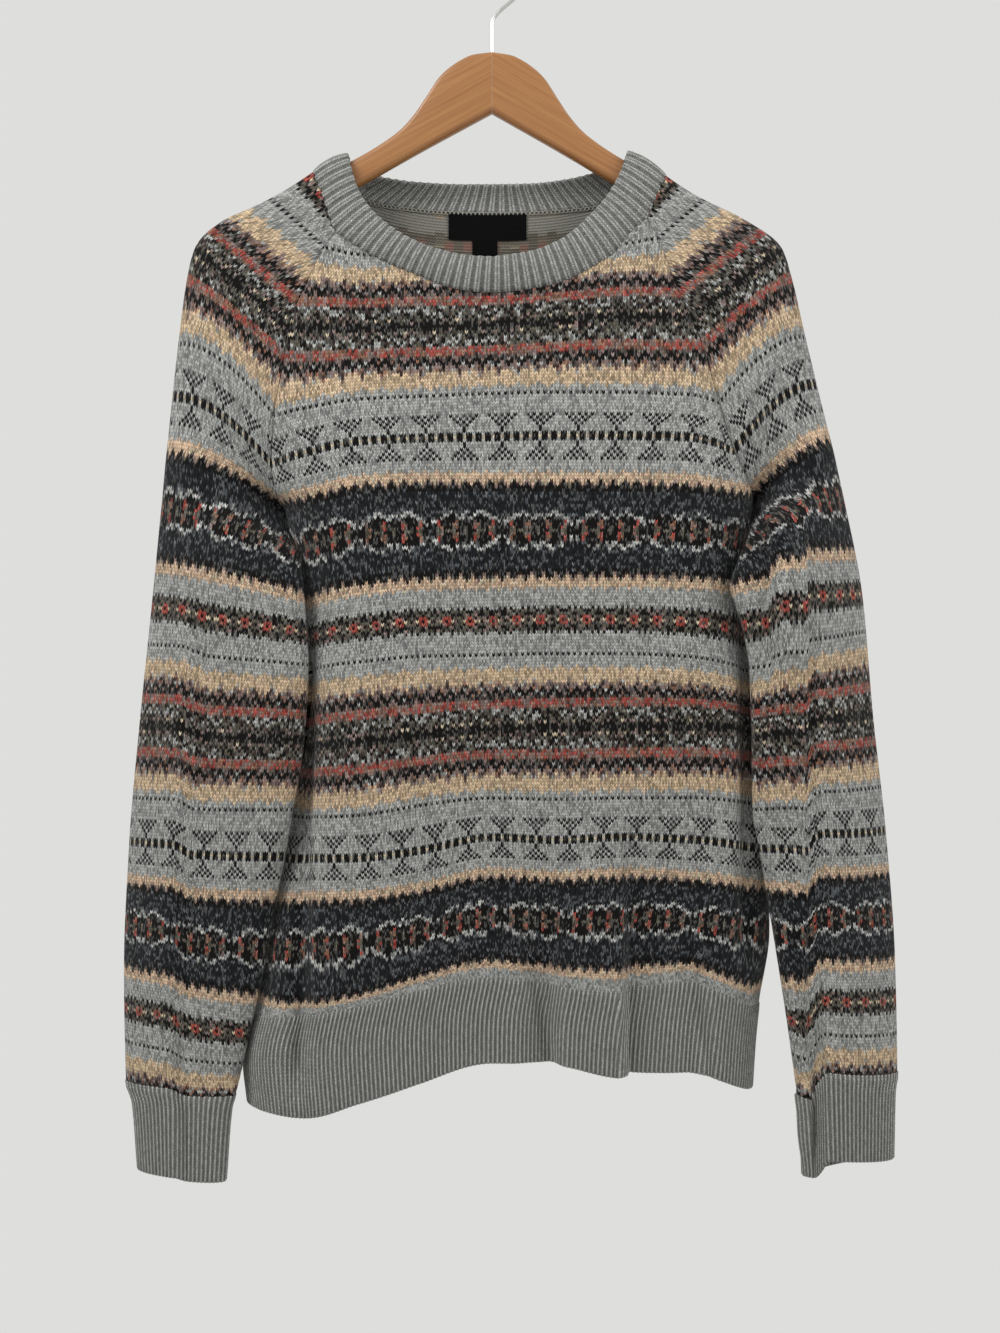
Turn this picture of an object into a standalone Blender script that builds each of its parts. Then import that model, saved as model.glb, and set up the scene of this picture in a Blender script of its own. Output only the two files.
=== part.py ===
"""A fair isle jumper on a flat wooden hanger.

Metres, +Z up. The front of the jumper faces -Y and +X is on the viewer's right. The origin is the inside of
the hook's top, where it hangs on a rail. Tables are in millimetres. A height on the cloth is counted in
courses, the rows of knitting: 0 is the dotted line across the chest, and the count grows downwards.
"""
import math

import bmesh
import bpy
import numpy as np

MM = 0.001
WALL = 2.0              # the stranded knit
BAND_WALL = 2.6         # the ribbed neckband, hem and cuffs between their ribs
SEAM_BACK = 0.18        # how far each edge stands back from its seam line
NECK_GAP = 0.6          # the neckband stands this far off its seam line
RIB_PITCH = 3.7         # one knit and one purl wale of the hem and cuffs
NECK_RIB_PITCH = 7.0
RIB_RISE = 0.6
RIB_SPAN = 4            # columns outside a ribbed wall for each column of its plain inside
UNDERARM = 33.0         # course where the raglan seams end and the side seams start
HEM_TOP, HEM_END = 198.0, 227.0
CUFF_TOP, CUFF_END = 227.0, 256.0
SLEEVE_TOP = -59.0      # course at which the neckband crosses the shoulder
BACK_NECK = -64.0       # course at the top of the back raglan seams
JOIN_COURSES = 0.14     # how far the knit and its rib each stay off the join between them
CUFF_JOIN_COURSES = 0.22
RAGLAN_LIFTS = np.linspace(0, 1, 12)[1:]    # rows from the underarm up to the neckband, as shares
PANEL_COLUMNS = {"front": 40, "back": 24}
SLEEVE_COLUMNS = 26
NECK_COLUMNS = 80
UNDERARM_EASE = 1.2     # the sleeve stands back this much more at the underarm point


def table(columns, *rows):
    """Rows of numbers as named columns."""
    grid = np.array(rows, float)
    return {name: grid[:, i] for i, name in enumerate(columns.split())}


# The two edges of the front panel: the raglan seam, then the side seam. depth is how far the edge lies in
# front of the hanger's middle plane.
FRONT_EDGE = {
    "left": table(
        "course x depth z",
        (-64, -104, 12, -199),
        (-52.3, -115, 12, -217),
        (-47, -122, 13, -226),
        (-35, -137, 18, -258),
        (-23, -148, 22, -287),
        (-12, -152, 27, -317),
        (0, -158, 31, -355),
        (14, -160, 30, -390),
        (24, -157, 22, -410),
        (33, -153, 0, -424),
        (37, -151.5, 0, -435),
        (39, -151, 0, -440),
        (45, -146, 0, -456),
        (61, -142.5, 0, -494),
        (84, -142, 0, -542),
        (108, -145, 0, -597),
        (144, -157, 0, -678),
        (175, -169, 0, -746),
        (198, -178, 0, -792),
        (212, -184, 0, -826),
        (227, -181, 0, -857),
    ),
    "right": table(
        "course x depth z",
        (-64, 103, 12, -189),
        (-53.5, 114, 12, -207),
        (-47, 122, 13, -219),
        (-35, 133, 18, -252),
        (-23, 145, 22, -280),
        (-12, 155, 27, -308),
        (0, 165, 31, -346),
        (14, 176, 30, -380),
        (24, 187, 22, -402),
        (33, 194, 0, -418),
        (37, 193.5, 0, -428),
        (39, 192.5, 0, -433),
        (45, 189.5, 0, -448),
        (61, 191, 0, -484),
        (84, 198, 0, -540),
        (108, 201, 0, -586),
        (144, 205, 0, -671),
        (175, 206, 0, -734),
        (198, 198, 0, -787),
        (212, 195, 0, -816),
        (227, 193, 0, -847),
    ),
}

# The back raglan seams. Below the underarm the back shares the side seams with the front.
BACK_RAGLAN = {
    "left": table(
        "course x depth z",
        (-68, -104, 16, -176),
        (-64, -106, 16, -184),
        (-47, -122, 18, -224),
        (-35, -136, 20, -256),
        (-23, -146, 22, -286),
        (-12, -151, 25, -317),
        (0, -157, 27, -353),
        (14, -160, 26, -388),
        (24, -157, 19, -409),
        (33, -153, 0, -424),
    ),
    "right": table(
        "course x depth z",
        (-68, 102, 16, -178),
        (-64, 104, 16, -186),
        (-47, 121, 18, -220),
        (-35, 133, 20, -252),
        (-23, 145, 22, -281),
        (-12, 155, 25, -309),
        (0, 165, 27, -345),
        (14, 176, 26, -379),
        (24, 187, 19, -401),
        (33, 194, 0, -418),
    ),
}

# How far the middle of each panel stands out, and how wide the round corner at its edges is.
FRONT_PLATEAU = table(
    "course depth corner",
    (-64, 13, 30),
    (-47, 15, 30),
    (-35, 21, 30),
    (-23, 26, 30),
    (0, 38, 34),
    (14, 43, 40),
    (33, 48, 46),
    (61, 50, 46),
    (198, 51, 46),
    (227, 50, 46),
)
BACK_PLATEAU = table(
    "course depth corner",
    (-68, 23, 40),
    (-47, 24, 36),
    (-23, 26, 30),
    (0, 31, 34),
    (33, 37, 44),
    (84, 40, 46),
    (227, 41, 46),
)

# Height of each course across the front, at these places from left to right.
FRONT_STATIONS = np.array([-175, -135, -95, -50, 0, 45, 90, 140, 190], float)
FRONT_ROWS = table(
    "course x-175 x-135 x-95 x-50 x0 x45 x90 x140 x190",
    (-64, -185, -188, -194, -192, -192, -191, -187, -180, -174),
    (-54, -208, -211, -216, -215, -214, -213, -210, -202, -197),
    (-47, -223, -226, -232, -230, -230, -229, -225, -218, -212),
    (-23, -286, -288, -288, -287, -286, -283, -280, -280, -278),
    (0, -365, -351, -344, -342, -340, -339, -339, -341, -363),
    (14, -403, -384, -375, -373, -372, -371, -371, -372, -389),
    (28, -432, -416, -406, -404, -404, -404, -404, -405, -415),
    (45, -461, -453, -445, -443, -442, -442, -442, -443, -448),
    (61, -498, -490, -483, -479, -478, -477, -477, -478, -480),
    (84, -543, -538, -534, -530, -529, -528, -528, -530, -539),
    (108, -598, -595, -591, -586, -582, -581, -580, -580, -582),
    (130, -648, -645, -643, -636, -631, -632, -631, -631, -635),
    (144, -678, -674, -673, -668, -659, -661, -659, -661, -667),
    (175, -746, -740, -736, -728, -718, -722, -720, -722, -730),
    (189, -780, -777, -770, -757, -747, -752, -753, -751, -771),
    (198, -791, -787, -779, -768, -760, -766, -769, -765, -783),
    (227, -854, -858, -847, -833, -820, -821, -829, -829, -843),
)
BACK_MIDDLE = table(
    "course z",
    (-68, -194.5),
    (-64, -203),
    (-47, -240),
    (-23, -291),
    (0, -341),
    (33, -414),
    (84, -528),
    (144, -660),
    (198, -766),
    (227, -828),
)

# Upright folds in the body: the cloth steps towards the viewer by rise, over width, at a line that runs from
# x_top down to x_end. A fold starts at course start and is whole at course full.
FRONT_FOLDS = table(
    "start full x_top x_end width rise",
    (60, 198, -70, -48, 60, -9),
    (120, 200, 24, 26, 26, -8),
    (130, 200, 50, 47, 14, 11),
    (120, 190, 96, 94, 9, -12),
    (140, 210, 128, 150, 20, 8),
    (40, 110, -118, -125, 30, 5),
    (45, 120, 150, 140, 34, -4),
)
BACK_FOLDS = table(
    "start full x_top x_end width rise",
    (70, 200, -110, -104, 34, 7),
    (90, 200, -40, -34, 22, -9),
    (110, 200, 20, 12, 16, 9),
    (60, 190, 84, 96, 30, -7),
    (130, 200, 140, 146, 14, 6),
)

# Where the neckband takes the front panel: share of the way across, and course.
FRONT_NECK = table(
    "share course",
    (0, -52.3),
    (0.10, -48),
    (0.27, -39.7),
    (0.42, -33.7),
    (0.507, -32.6),
    (0.65, -33.9),
    (0.84, -42.2),
    (0.93, -49.8),
    (1, -53.5),
)

# The outer ridge of each sleeve, from the neckband over the shoulder and down the arm. front and back are
# how far the cloth bellies out of the line from the inner edge to the ridge, and hang bends each course so
# that it falls faster towards the body.
RIDGE = {
    "left": table(
        "course x y z hang",
        (-64, -122, 0, -162, 1.0),
        (-59, -132, 0, -169, 1.0),
        (-53.5, -146, 0, -178.5, 1.0),
        (-47, -162, 0, -188, 1.0),
        (-41.5, -182, 0, -198, 1.0),
        (-35, -200, 0, -206.5, 1.0),
        (-23, -220, 0, -225, 1.0),
        (-14, -227, 0, -251, 1.2),
        (0, -233, -2, -299, 1.8),
        (14, -237, -4, -338, 1.8),
        (45, -245, -8, -425, 1.5),
        (73, -251, -12, -494, 1.2),
        (108, -259, -16, -580, 1.2),
        (144, -266, -18, -665, 1.2),
        (191, -269.5, -20, -760, 1.2),
        (227, -268, -20, -840, 1.0),
        (233, -263, -20, -855, 1.0),
        (256, -259, -20, -904, 1.0),
    ),
    "right": table(
        "course x y z hang",
        (-64, 118, 0, -164, 1.0),
        (-59, 128, 0, -171.5, 1.0),
        (-53.5, 140, 0, -180, 1.0),
        (-47, 155, 0, -189, 1.0),
        (-41.5, 173, 0, -198, 1.0),
        (-35, 190, 0, -207, 1.0),
        (-23, 215, 0, -226, 1.0),
        (-14, 223, 0, -249, 1.2),
        (0, 233, -2, -294, 1.8),
        (14, 241, -4, -329, 1.8),
        (45, 261, -8, -417, 1.5),
        (73, 273, -12, -484, 1.2),
        (108, 280, -16, -572, 1.2),
        (144, 289, -18, -657, 1.2),
        (191, 295.5, -20, -754, 1.2),
        (227, 297, -20, -834, 1.0),
        (233, 295, -20, -848, 1.0),
        (256, 294, -20, -896, 1.0),
    ),
}
BELLY = table(
    "course front back",
    (33, 24, 22),
    (84, 22, 21),
    (144, 20, 19),
    (227, 16, 15),
    (256, 13, 12),
)

# The inner edge of each sleeve below the underarm. It swings forward and hangs in front of the body's side.
INNER = {
    "left": table(
        "course x y z",
        (33, -153, 0, -424),
        (36, -153.8, -8, -432),
        (39, -149, -22, -441),
        (45, -140, -34, -455),
        (61, -135, -42, -488),
        (84, -132, -41, -536),
        (108, -135, -41, -590),
        (130, -143, -40, -640),
        (144, -149, -39, -674),
        (158, -155, -38, -704),
        (175, -162, -37, -743),
        (203, -175, -35, -802),
        (227, -186, -33, -848),
        (233, -189, -33, -858),
        (256, -193, -33, -909),
    ),
    "right": table(
        "course x y z",
        (33, 194, 0, -418),
        (36, 195.3, -10, -427),
        (39, 188.5, -25, -436),
        (45, 182, -40, -451),
        (54, 174, -49, -468),
        (59, 170, -53, -479),
        (66, 174, -53, -493),
        (73, 179, -50, -508),
        (84, 185, -46, -538),
        (108, 187, -43, -588),
        (130, 188, -41, -640),
        (144, 193, -39, -668),
        (158, 198, -37, -697),
        (175, 204, -35, -731),
        (203, 214, -32, -792),
        (227, 222, -30, -846),
        (233, 224, -30, -858),
        (256, 226, -30, -906),
    ),
}

# Lengthwise folds in the sleeves: place across the front from the inner edge (0) to the ridge (1), how far
# the outer facet stands forward, and how much lower the inner facet hangs.
SLEEVE_FOLDS = {
    "left": [
        table(
            "course place rise drop",
            (60, 0.68, 0, 0),
            (90, 0.67, 6, 7),
            (180, 0.58, 8, 8),
            (227, 0.50, 8, 6.5),
            (256, 0.46, 5, 3),
        ),
    ],
    "right": [
        table(
            "course place rise drop",
            (30, 0.10, 0, 0),
            (45, 0.18, 8, 6),
            (59, 0.31, 10, 9),
            (73, 0.22, 9, 8),
            (95, 0.18, 0, 0),
        ),
        table(
            "course place rise drop",
            (60, 0.50, 0, 0),
            (100, 0.46, 5, 3),
            (130, 0.43, 8, 7),
            (169, 0.33, 11, 10),
            (200, 0.22, 12, 14),
            (227, 0.19, 12, 18),
            (256, 0.17, 10, 16),
        ),
    ],
}

# The neckband's free edge, round from the front's middle (0) by the left shoulder (1), the back's middle (2)
# and the right shoulder (3).
NECK_EDGE = table(
    "turn x y z",
    (0, 1, -25, -239),
    (0.12, -17, -25, -238),
    (0.31, -45, -23, -231),
    (0.49, -70, -20, -218.5),
    (0.70, -93, -15, -197),
    (0.82, -101, -12.5, -182),
    (0.91, -105.5, -11.5, -167),
    (0.96, -107.5, -9.5, -160),
    (1, -108, 0, -156.3),
    (1.04, -107, 9.5, -160),
    (1.10, -102, 12, -164.5),
    (1.23, -88, 15, -168),
    (1.52, -55, 19, -172),
    (1.81, -21, 20, -173.5),
    (2, 1, 20, -173.5),
    (2.27, 29, 19.5, -173),
    (2.50, 54, 18, -170.5),
    (2.72, 77, 15, -166),
    (2.88, 93, 12, -161),
    (2.96, 100, 9.5, -157.5),
    (3, 102, 0, -154.5),
    (3.04, 101, -9.5, -158),
    (3.10, 98.5, -12, -166),
    (3.25, 89, -14, -186),
    (3.42, 74, -18, -205),
    (3.62, 53, -22, -224),
    (3.80, 29, -24, -234.5),
)
BAND_BULGE = 2.2        # the neckband rounds out between its two edges

# The hanger: half of the wood, its top and its lower edge by distance from the middle.
WOOD_TOP = table(
    "x z",
    (0, -80.2),
    (14, -82.2),
    (24, -86.8),
    (33, -93.2),
    (40, -100.3),
    (46, -109.5),
    (52, -118.8),
    (58, -127.5),
    (68, -138.7),
    (79, -147.2),
    (92, -155.6),
    (105, -163),
    (120, -171.4),
    (142, -182.8),
    (162, -194.4),
    (182, -205.2),
    (198, -214.4),
    (206, -221.5),
)
WOOD_UNDER = table(
    "x z",
    (0, -125.7),
    (50, -153.5),
    (98, -181),
    (140, -204),
    (175, -221),
    (198, -231),
    (206, -233),
)
WOOD_THICK = 11.0
WOOD_EDGE = 4.8         # radius along the wood's edges
WOOD_TILT = 0.0136      # the right arm hangs this much lower, in millimetres per millimetre
MITRE_GAP = 0.3
WIRE = 2.8
HOOK_RADIUS = 24.0      # to the middle of the wire
STEM_BEND = -59.0       # where the stem starts to bend

LABEL = {"x": (-33, 26), "below_seam": (0.6, 20.5), "thick": 0.8}
TAB = {"x": (-15, 4), "below_seam": (20.9, 32.0), "thick": 0.6}

GREY = (0.32, 0.325, 0.33)
CHARCOAL = (0.05, 0.055, 0.065)
MAPLE = (0.55, 0.28, 0.12)
STEEL = (0.62, 0.62, 0.61)
BLACK = (0.01, 0.01, 0.011)


def smooth(xs, ys, at):
    """A curve through the points that never overshoots them."""
    step = np.diff(xs)
    slope = np.diff(ys) / step
    bend = np.zeros(len(xs))
    same = slope[:-1] * slope[1:] > 0
    bend[1:-1][same] = 2 / (1 / slope[:-1][same] + 1 / slope[1:][same])
    bend[0], bend[-1] = slope[0], slope[-1]
    at = np.clip(at, xs[0], xs[-1])
    i = np.clip(np.searchsorted(xs, at, side="right") - 1, 0, len(step) - 1)
    t = (at - xs[i]) / step[i]
    start = (1 + 2 * t) * (1 - t) ** 2 * ys[i] + t * (1 - t) ** 2 * step[i] * bend[i]
    end = t * t * (3 - 2 * t) * ys[i + 1] + t * t * (t - 1) * step[i] * bend[i + 1]
    return start + end


def read(source, column, at):
    """A table's column at a course."""
    return float(smooth(source["course"], source[column], at))


def ease(t):
    """0 to 1 with soft ends."""
    t = np.clip(t, 0, 1)
    return t * t * (3 - 2 * t)


def along(points, shares):
    """Points at shares of the length of a polyline."""
    steps = np.linalg.norm(np.diff(points, axis=0), axis=1)
    run = np.concatenate([[0], np.cumsum(steps)])
    where = np.asarray(shares) * run[-1]
    return np.stack([np.interp(where, run, points[:, k]) for k in range(3)], 1)


def back_share(points, gap):
    """The share of a polyline's length that a gap in millimetres takes."""
    return gap / np.linalg.norm(np.diff(points, axis=0), axis=1).sum()


def panel_edge(face, side, course):
    """x, depth and z of a body panel's edge."""
    raglan_at_back = face == "back" and course <= UNDERARM
    source = BACK_RAGLAN[side] if raglan_at_back else FRONT_EDGE[side]
    return [read(source, name, course) for name in ("x", "depth", "z")]


def panel_row(face, course):
    """One course of a body panel, from its left edge to its right, as a polyline."""
    plateau = FRONT_PLATEAU if face == "front" else BACK_PLATEAU
    x0, depth0, z0 = panel_edge(face, "left", course)
    x1, depth1, z1 = panel_edge(face, "right", course)
    deep, corner = read(plateau, "depth", course), read(plateau, "corner", course)
    turn = np.linspace(0, math.pi / 2, 30)
    level = np.linspace(x0 + corner, x1 - corner, 180)[1:-1]
    x = np.concatenate([x0 + corner * (1 - np.cos(turn)), level, x1 - corner * (1 - np.cos(turn[::-1]))])
    out = np.concatenate([np.sin(turn), np.ones(len(level)), np.sin(turn[::-1])])
    floor = depth0 + (depth1 - depth0) * (x - x0) / (x1 - x0)
    depth = floor + (deep - floor) * out
    folds = FRONT_FOLDS if face == "front" else BACK_FOLDS
    for start, full, x_top, x_end, width, rise in zip(*folds.values()):
        down = (course - start) / (full - start)
        line = x_top + (x_end - x_top) * min(max(down, 0), 1)
        depth = depth + rise * float(ease(down)) * out * (ease((x - line) / width + 0.5) - 0.5)
    if face == "front":
        heights = [read(FRONT_ROWS, name, course) for name in list(FRONT_ROWS)[1:]]
        z = smooth(FRONT_STATIONS, np.array(heights), x)
    else:
        across = 2 * (x - x0) / (x1 - x0) - 1
        middle = read(BACK_MIDDLE, "z", course)
        edge_z = np.where(across < 0, z0, z1)
        z = middle + (edge_z - middle) * np.abs(across) ** 2.5
    near_left, near_right = (np.clip(1 - np.abs(x - end) / 40, 0, 1) ** 2 for end in (x0, x1))
    z = z + (z0 - z[0]) * near_left + (z1 - z[-1]) * near_right
    y = -depth if face == "front" else depth
    return np.stack([x, y, z], 1)


def neck_course(face, share):
    """The course at which the neckband takes a body panel."""
    if face == "front":
        return float(smooth(FRONT_NECK["share"], FRONT_NECK["course"], share))
    return BACK_NECK - 4 * (1 - abs(2 * share - 1) ** 3)


def sleeve_row(side, course):
    """One course of a sleeve as two polylines: front edge to ridge, and back edge to ridge."""
    ridge = np.array([read(RIDGE[side], name, course) for name in "xyz"])
    hang = read(RIDGE[side], "hang", course)
    closed = float(ease((course - 20) / 30))
    narrow = 0.5 + 0.35 * float(ease((course + 40) / 40))
    s = np.linspace(0, 1, 60)
    rows = []
    for face, sign in (("front", -1), ("back", 1)):
        if course <= UNDERARM:
            x, depth, z = panel_edge(face, side, course)
            start = np.array([x, sign * depth, z])
        else:
            start = np.array([read(INNER[side], name, course) for name in "xyz"])
        belly = read(BELLY, face, course)
        quarter = np.sin(s * math.pi / 2)
        half = (1 - np.cos(s * math.pi)) / 2
        t = (1 - closed) * quarter + closed * half
        x = start[0] + (ridge[0] - start[0]) * t
        y_open = ridge[1] + (start[1] - ridge[1]) * np.maximum(np.cos(s * math.pi / 2), 0) ** narrow
        y_closed = start[1] + (ridge[1] - start[1]) * half + sign * belly * np.sin(s * math.pi)
        y = (1 - closed) * y_open + closed * y_closed
        z = start[2] + (ridge[2] - start[2]) * (1 - (1 - t) ** hang)
        if face == "front":
            for fold in SLEEVE_FOLDS[side]:
                place, rise, drop = (read(fold, name, course) for name in ("place", "rise", "drop"))
                inside = fold["course"][0] <= course <= fold["course"][-1]
                step = (ease((t - place) / 0.14 + 0.5) - t) * np.sin(np.minimum(s, 1 - s) * math.pi) ** 0.3
                y = y - inside * rise * step
                z = z + inside * drop * step
        rows.append(np.stack([x, y, z], 1))
    return rows


def panel_grid(face, courses_below, rows_above, columns):
    """Outer points of a body panel, rows from the hem upwards."""
    shares = np.linspace(0, 1, columns + 1)
    grid = []
    for course in courses_below:
        row = panel_row(face, course)
        inset = back_share(row, SEAM_BACK)
        grid.append(along(row, inset + shares * (1 - 2 * inset)))
    for lift in rows_above:
        points = []
        for share in shares:
            row = panel_row(face, UNDERARM + (neck_course(face, share) - UNDERARM) * lift)
            inset = back_share(row, SEAM_BACK)
            points.append(along(row, [inset + share * (1 - 2 * inset)])[0])
        grid.append(np.array(points))
    return np.array(grid)


def sleeve_top_course(side, turn):
    """The course at which the neckband takes the sleeve; turn runs 0 to 1 from the front edge to the back."""
    front_top = neck_course("front", 0 if side == "left" else 1)
    turns = np.array([0, 0.25, 0.5, 0.75, 1])
    courses = np.array([front_top, -57, SLEEVE_TOP, -61.5, BACK_NECK])
    return float(smooth(turns, courses, turn))


def sleeve_points(side, course, turns):
    """Points of a sleeve's course: turn 0 is the front edge, 0.5 the ridge and 1 the back edge."""
    front, back = sleeve_row(side, course)
    stand_back = SEAM_BACK + UNDERARM_EASE * max(0, 1 - abs(course - UNDERARM) / 6)
    inset = [back_share(half, stand_back) for half in (front, back)]
    points = []
    for turn in turns:
        half, start, share = (front, inset[0], 2 * turn) if turn <= 0.5 else (back, inset[1], 2 - 2 * turn)
        points.append(along(half, [start + (1 - start) * share])[0])
    return np.array(points)


def sleeve_grid(side, courses_below, rows_above, columns):
    """Outer points of a sleeve, rows from the cuff upwards."""
    turns = np.linspace(0, 1, columns + 1)
    grid = [sleeve_points(side, course, turns) for course in courses_below]
    for lift in rows_above:
        points = []
        for turn in turns:
            course = UNDERARM + (sleeve_top_course(side, turn) - UNDERARM) * lift
            points.append(sleeve_points(side, course, [turn])[0])
        grid.append(np.array(points))
    return np.array(grid)


def outward(grid, closed, level=()):
    """Unit normals of a grid of points, by differences along its rows and columns. They are level in the rows
    where another piece is joined on."""
    if closed:
        side = np.roll(grid, -1, 1) - np.roll(grid, 1, 1)
    else:
        side = np.gradient(grid, axis=1, edge_order=2)
    up = np.gradient(grid, axis=0)
    for row in level:
        up[row] = (0, 0, 1)
    normal = np.cross(side, up)
    return normal / np.linalg.norm(normal, axis=2, keepdims=True)


def strip(many, few, per):
    """Triangles between an edge with many points and one with few, which has one for every per points."""
    faces = []
    for a in range(len(few) - 1):
        half = per // 2
        for k in range(per):
            anchor = few[a] if k < half else few[a + 1]
            faces.append((many[a * per + k], many[a * per + k + 1], anchor))
        faces.append((few[a], many[a * per + half], few[a + 1]))
    return faces


def split_columns(grid, per, closed):
    """The grid with each of its columns split into per columns."""
    if closed:
        grid = np.concatenate([grid, grid[:, :1]], 1)
    where = np.arange((grid.shape[1] - 1) * per + 1) / per
    left = np.minimum(where.astype(int), grid.shape[1] - 2)
    t = (where - left)[None, :, None]
    fine = grid[:, left] * (1 - t) + grid[:, left + 1] * t
    return fine[:, :-1] if closed else fine


def wall(name, grid, finish, thick=WALL, per=1, pitch=None, closed=False, inside_out=False, level=()):
    """A closed wall of cloth whose outer side is the grid. The inside is plain and has one column for every
    per columns of the grid. With a pitch the outer columns are split into ribs, and every other one is
    raised."""
    normal = outward(grid, closed, level) * (-1 if inside_out else 1)
    inner = (grid - normal * thick)[:, ::per]
    outer = grid
    if pitch is not None:
        length = np.linalg.norm(np.diff(grid[-1], axis=0), axis=1).sum()
        parts = 2 * max(round(length / pitch / grid.shape[1]), 1)
        outer = split_columns(grid, parts, closed)
        outer[:, 1::2] += split_columns(normal, parts, closed)[:, 1::2] * RIB_RISE
        finer = max(per * parts // RIB_SPAN, 1)
        inner = split_columns(inner, finer, closed)
        per = per * parts // finer
    rows, wide, narrow = len(grid), outer.shape[1], inner.shape[1]
    points = np.concatenate([outer.reshape(-1, 3), inner.reshape(-1, 3)]) * MM
    outer_at = np.arange(rows * wide).reshape(rows, wide)
    inner_at = rows * wide + np.arange(rows * narrow).reshape(rows, narrow)
    if closed:
        outer_at = np.concatenate([outer_at, outer_at[:, :1]], 1)
        inner_at = np.concatenate([inner_at, inner_at[:, :1]], 1)
    faces = []
    for at in (outer_at, inner_at):
        for i in range(rows - 1):
            for j in range(at.shape[1] - 1):
                faces.append((at[i, j], at[i, j + 1], at[i + 1, j + 1], at[i + 1, j]))
    for i in (0, rows - 1):
        faces += strip(outer_at[i], inner_at[i], per)
    if not closed:
        for j in (0, -1):
            for i in range(rows - 1):
                faces.append((outer_at[i, j], outer_at[i + 1, j], inner_at[i + 1, j], inner_at[i, j]))
    return mesh_object(name, points, faces, finish)


def mesh_object(name, points, faces, finish):
    """A closed mesh object with its faces pointing out."""
    mesh = bpy.data.meshes.new(name)
    mesh.from_pydata([tuple(map(float, p)) for p in points], [], [tuple(map(int, f)) for f in faces])
    body = bmesh.new()
    body.from_mesh(mesh)
    bmesh.ops.recalc_face_normals(body, faces=body.faces)
    if body.calc_volume(signed=True) < 0:
        bmesh.ops.reverse_faces(body, faces=body.faces)
    body.to_mesh(mesh)
    body.free()
    mesh.shade_smooth()
    mesh.set_sharp_from_angle(angle=math.radians(50))
    mesh.materials.append(finish)
    return place(bpy.data.objects.new(name, mesh))


def place(piece):
    """Puts a piece in the jumper's collection, under its hanging point."""
    COLLECTION.objects.link(piece)
    piece.parent = HANGING_POINT
    return piece


def material(name, colour, rough, metal=0.0):
    """A plain finish."""
    finish = bpy.data.materials.new(name)
    finish.use_nodes = True
    shader = finish.node_tree.nodes["Principled BSDF"]
    shader.inputs["Base Color"].default_value = (*colour, 1)
    shader.inputs["Roughness"].default_value = rough
    shader.inputs["Metallic"].default_value = metal
    return finish


def body_panels(knit):
    """Front and back, from the hem rib up to the neckband and the raglan seams."""
    courses = np.linspace(HEM_TOP - JOIN_COURSES, UNDERARM, 12)
    for face in ("front", "back"):
        grid = panel_grid(face, courses, RAGLAN_LIFTS, PANEL_COLUMNS[face])
        wall(face + "_panel", grid, knit, per=2, inside_out=face == "back", level=(0,))


def hem_ribs(rib):
    """The two halves of the hem rib, joined at the side seams."""
    courses = (HEM_END, (HEM_TOP + HEM_END) / 2, HEM_TOP + JOIN_COURSES)
    for face in ("front", "back"):
        grid = panel_grid(face, courses, [], PANEL_COLUMNS[face])
        wall("hem_rib_" + face, grid, rib, BAND_WALL, 2, RIB_PITCH, inside_out=face == "back", level=(-1,))


def sleeves(knit):
    """Both sleeves. Each is one piece, sewn to itself along the underarm."""
    courses = np.append(np.linspace(CUFF_TOP - CUFF_JOIN_COURSES, 75, 9), (66, 57, 49, 43, 38, 35, UNDERARM))
    for side in ("left", "right"):
        grid = sleeve_grid(side, courses, RAGLAN_LIFTS, SLEEVE_COLUMNS)
        wall(side + "_sleeve", grid, knit, per=2, inside_out=side == "left", level=(0,))


def cuffs(rib):
    """Ribbed tubes below the sleeves."""
    courses = (CUFF_END, 241, 232, CUFF_TOP + CUFF_JOIN_COURSES)
    turns = np.arange(SLEEVE_COLUMNS) / SLEEVE_COLUMNS
    for side in ("left", "right"):
        grid = np.array([sleeve_points(side, course, turns) for course in courses])
        wall(side + "_cuff", grid, rib, BAND_WALL, 2, RIB_PITCH, True, side == "left", level=(-1,))


def neck_seam(columns):
    """The loop where the neckband is sewn on, with quarters that end at the middles and the shoulders."""
    middle = float(FRONT_NECK["share"][4])
    fine = np.linspace(0, 1, 41)

    def front(share):
        return along(panel_row("front", neck_course("front", share)), [share])[0]

    def back(share):
        return along(panel_row("back", neck_course("back", share)), [share])[0]

    def sleeve(side, turn):
        half, share = (0, 2 * turn) if turn <= 0.5 else (1, 2 - 2 * turn)
        row = sleeve_row(side, sleeve_top_course(side, turn))[half]
        return along(row, [share])[0]

    quarters = [
        [front(middle * (1 - t)) for t in fine] + [sleeve("left", t / 2) for t in fine[1:]],
        [sleeve("left", 0.5 + t / 2) for t in fine] + [back(t / 2) for t in fine[1:]],
        [back(0.5 + t / 2) for t in fine] + [sleeve("right", 1 - t / 2) for t in fine[1:]],
        [sleeve("right", 0.5 - t / 2) for t in fine] + [front(1 - (1 - middle) * t) for t in fine[1:]],
    ]
    per_quarter = columns // 4
    shares = np.arange(per_quarter) / per_quarter
    return np.concatenate([along(np.array(quarter), shares) for quarter in quarters])


def neckband_grid(columns):
    """Outer points of the neckband, from its seam up to its free edge."""
    seam = neck_seam(columns)
    turns = np.arange(columns) / columns * 4
    wrapped = {name: np.concatenate([values, values[:1]]) for name, values in NECK_EDGE.items()}
    wrapped["turn"][-1] = 4
    edge = np.stack([smooth(wrapped["turn"], wrapped[name], turns) for name in "xyz"], 1)
    up = (edge - seam) / np.linalg.norm(edge - seam, axis=1, keepdims=True)
    start = seam + up * NECK_GAP
    grid = np.array([start, (start + edge) / 2, edge])
    grid[1] -= outward(grid, True)[1] * BAND_BULGE
    return grid


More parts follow.
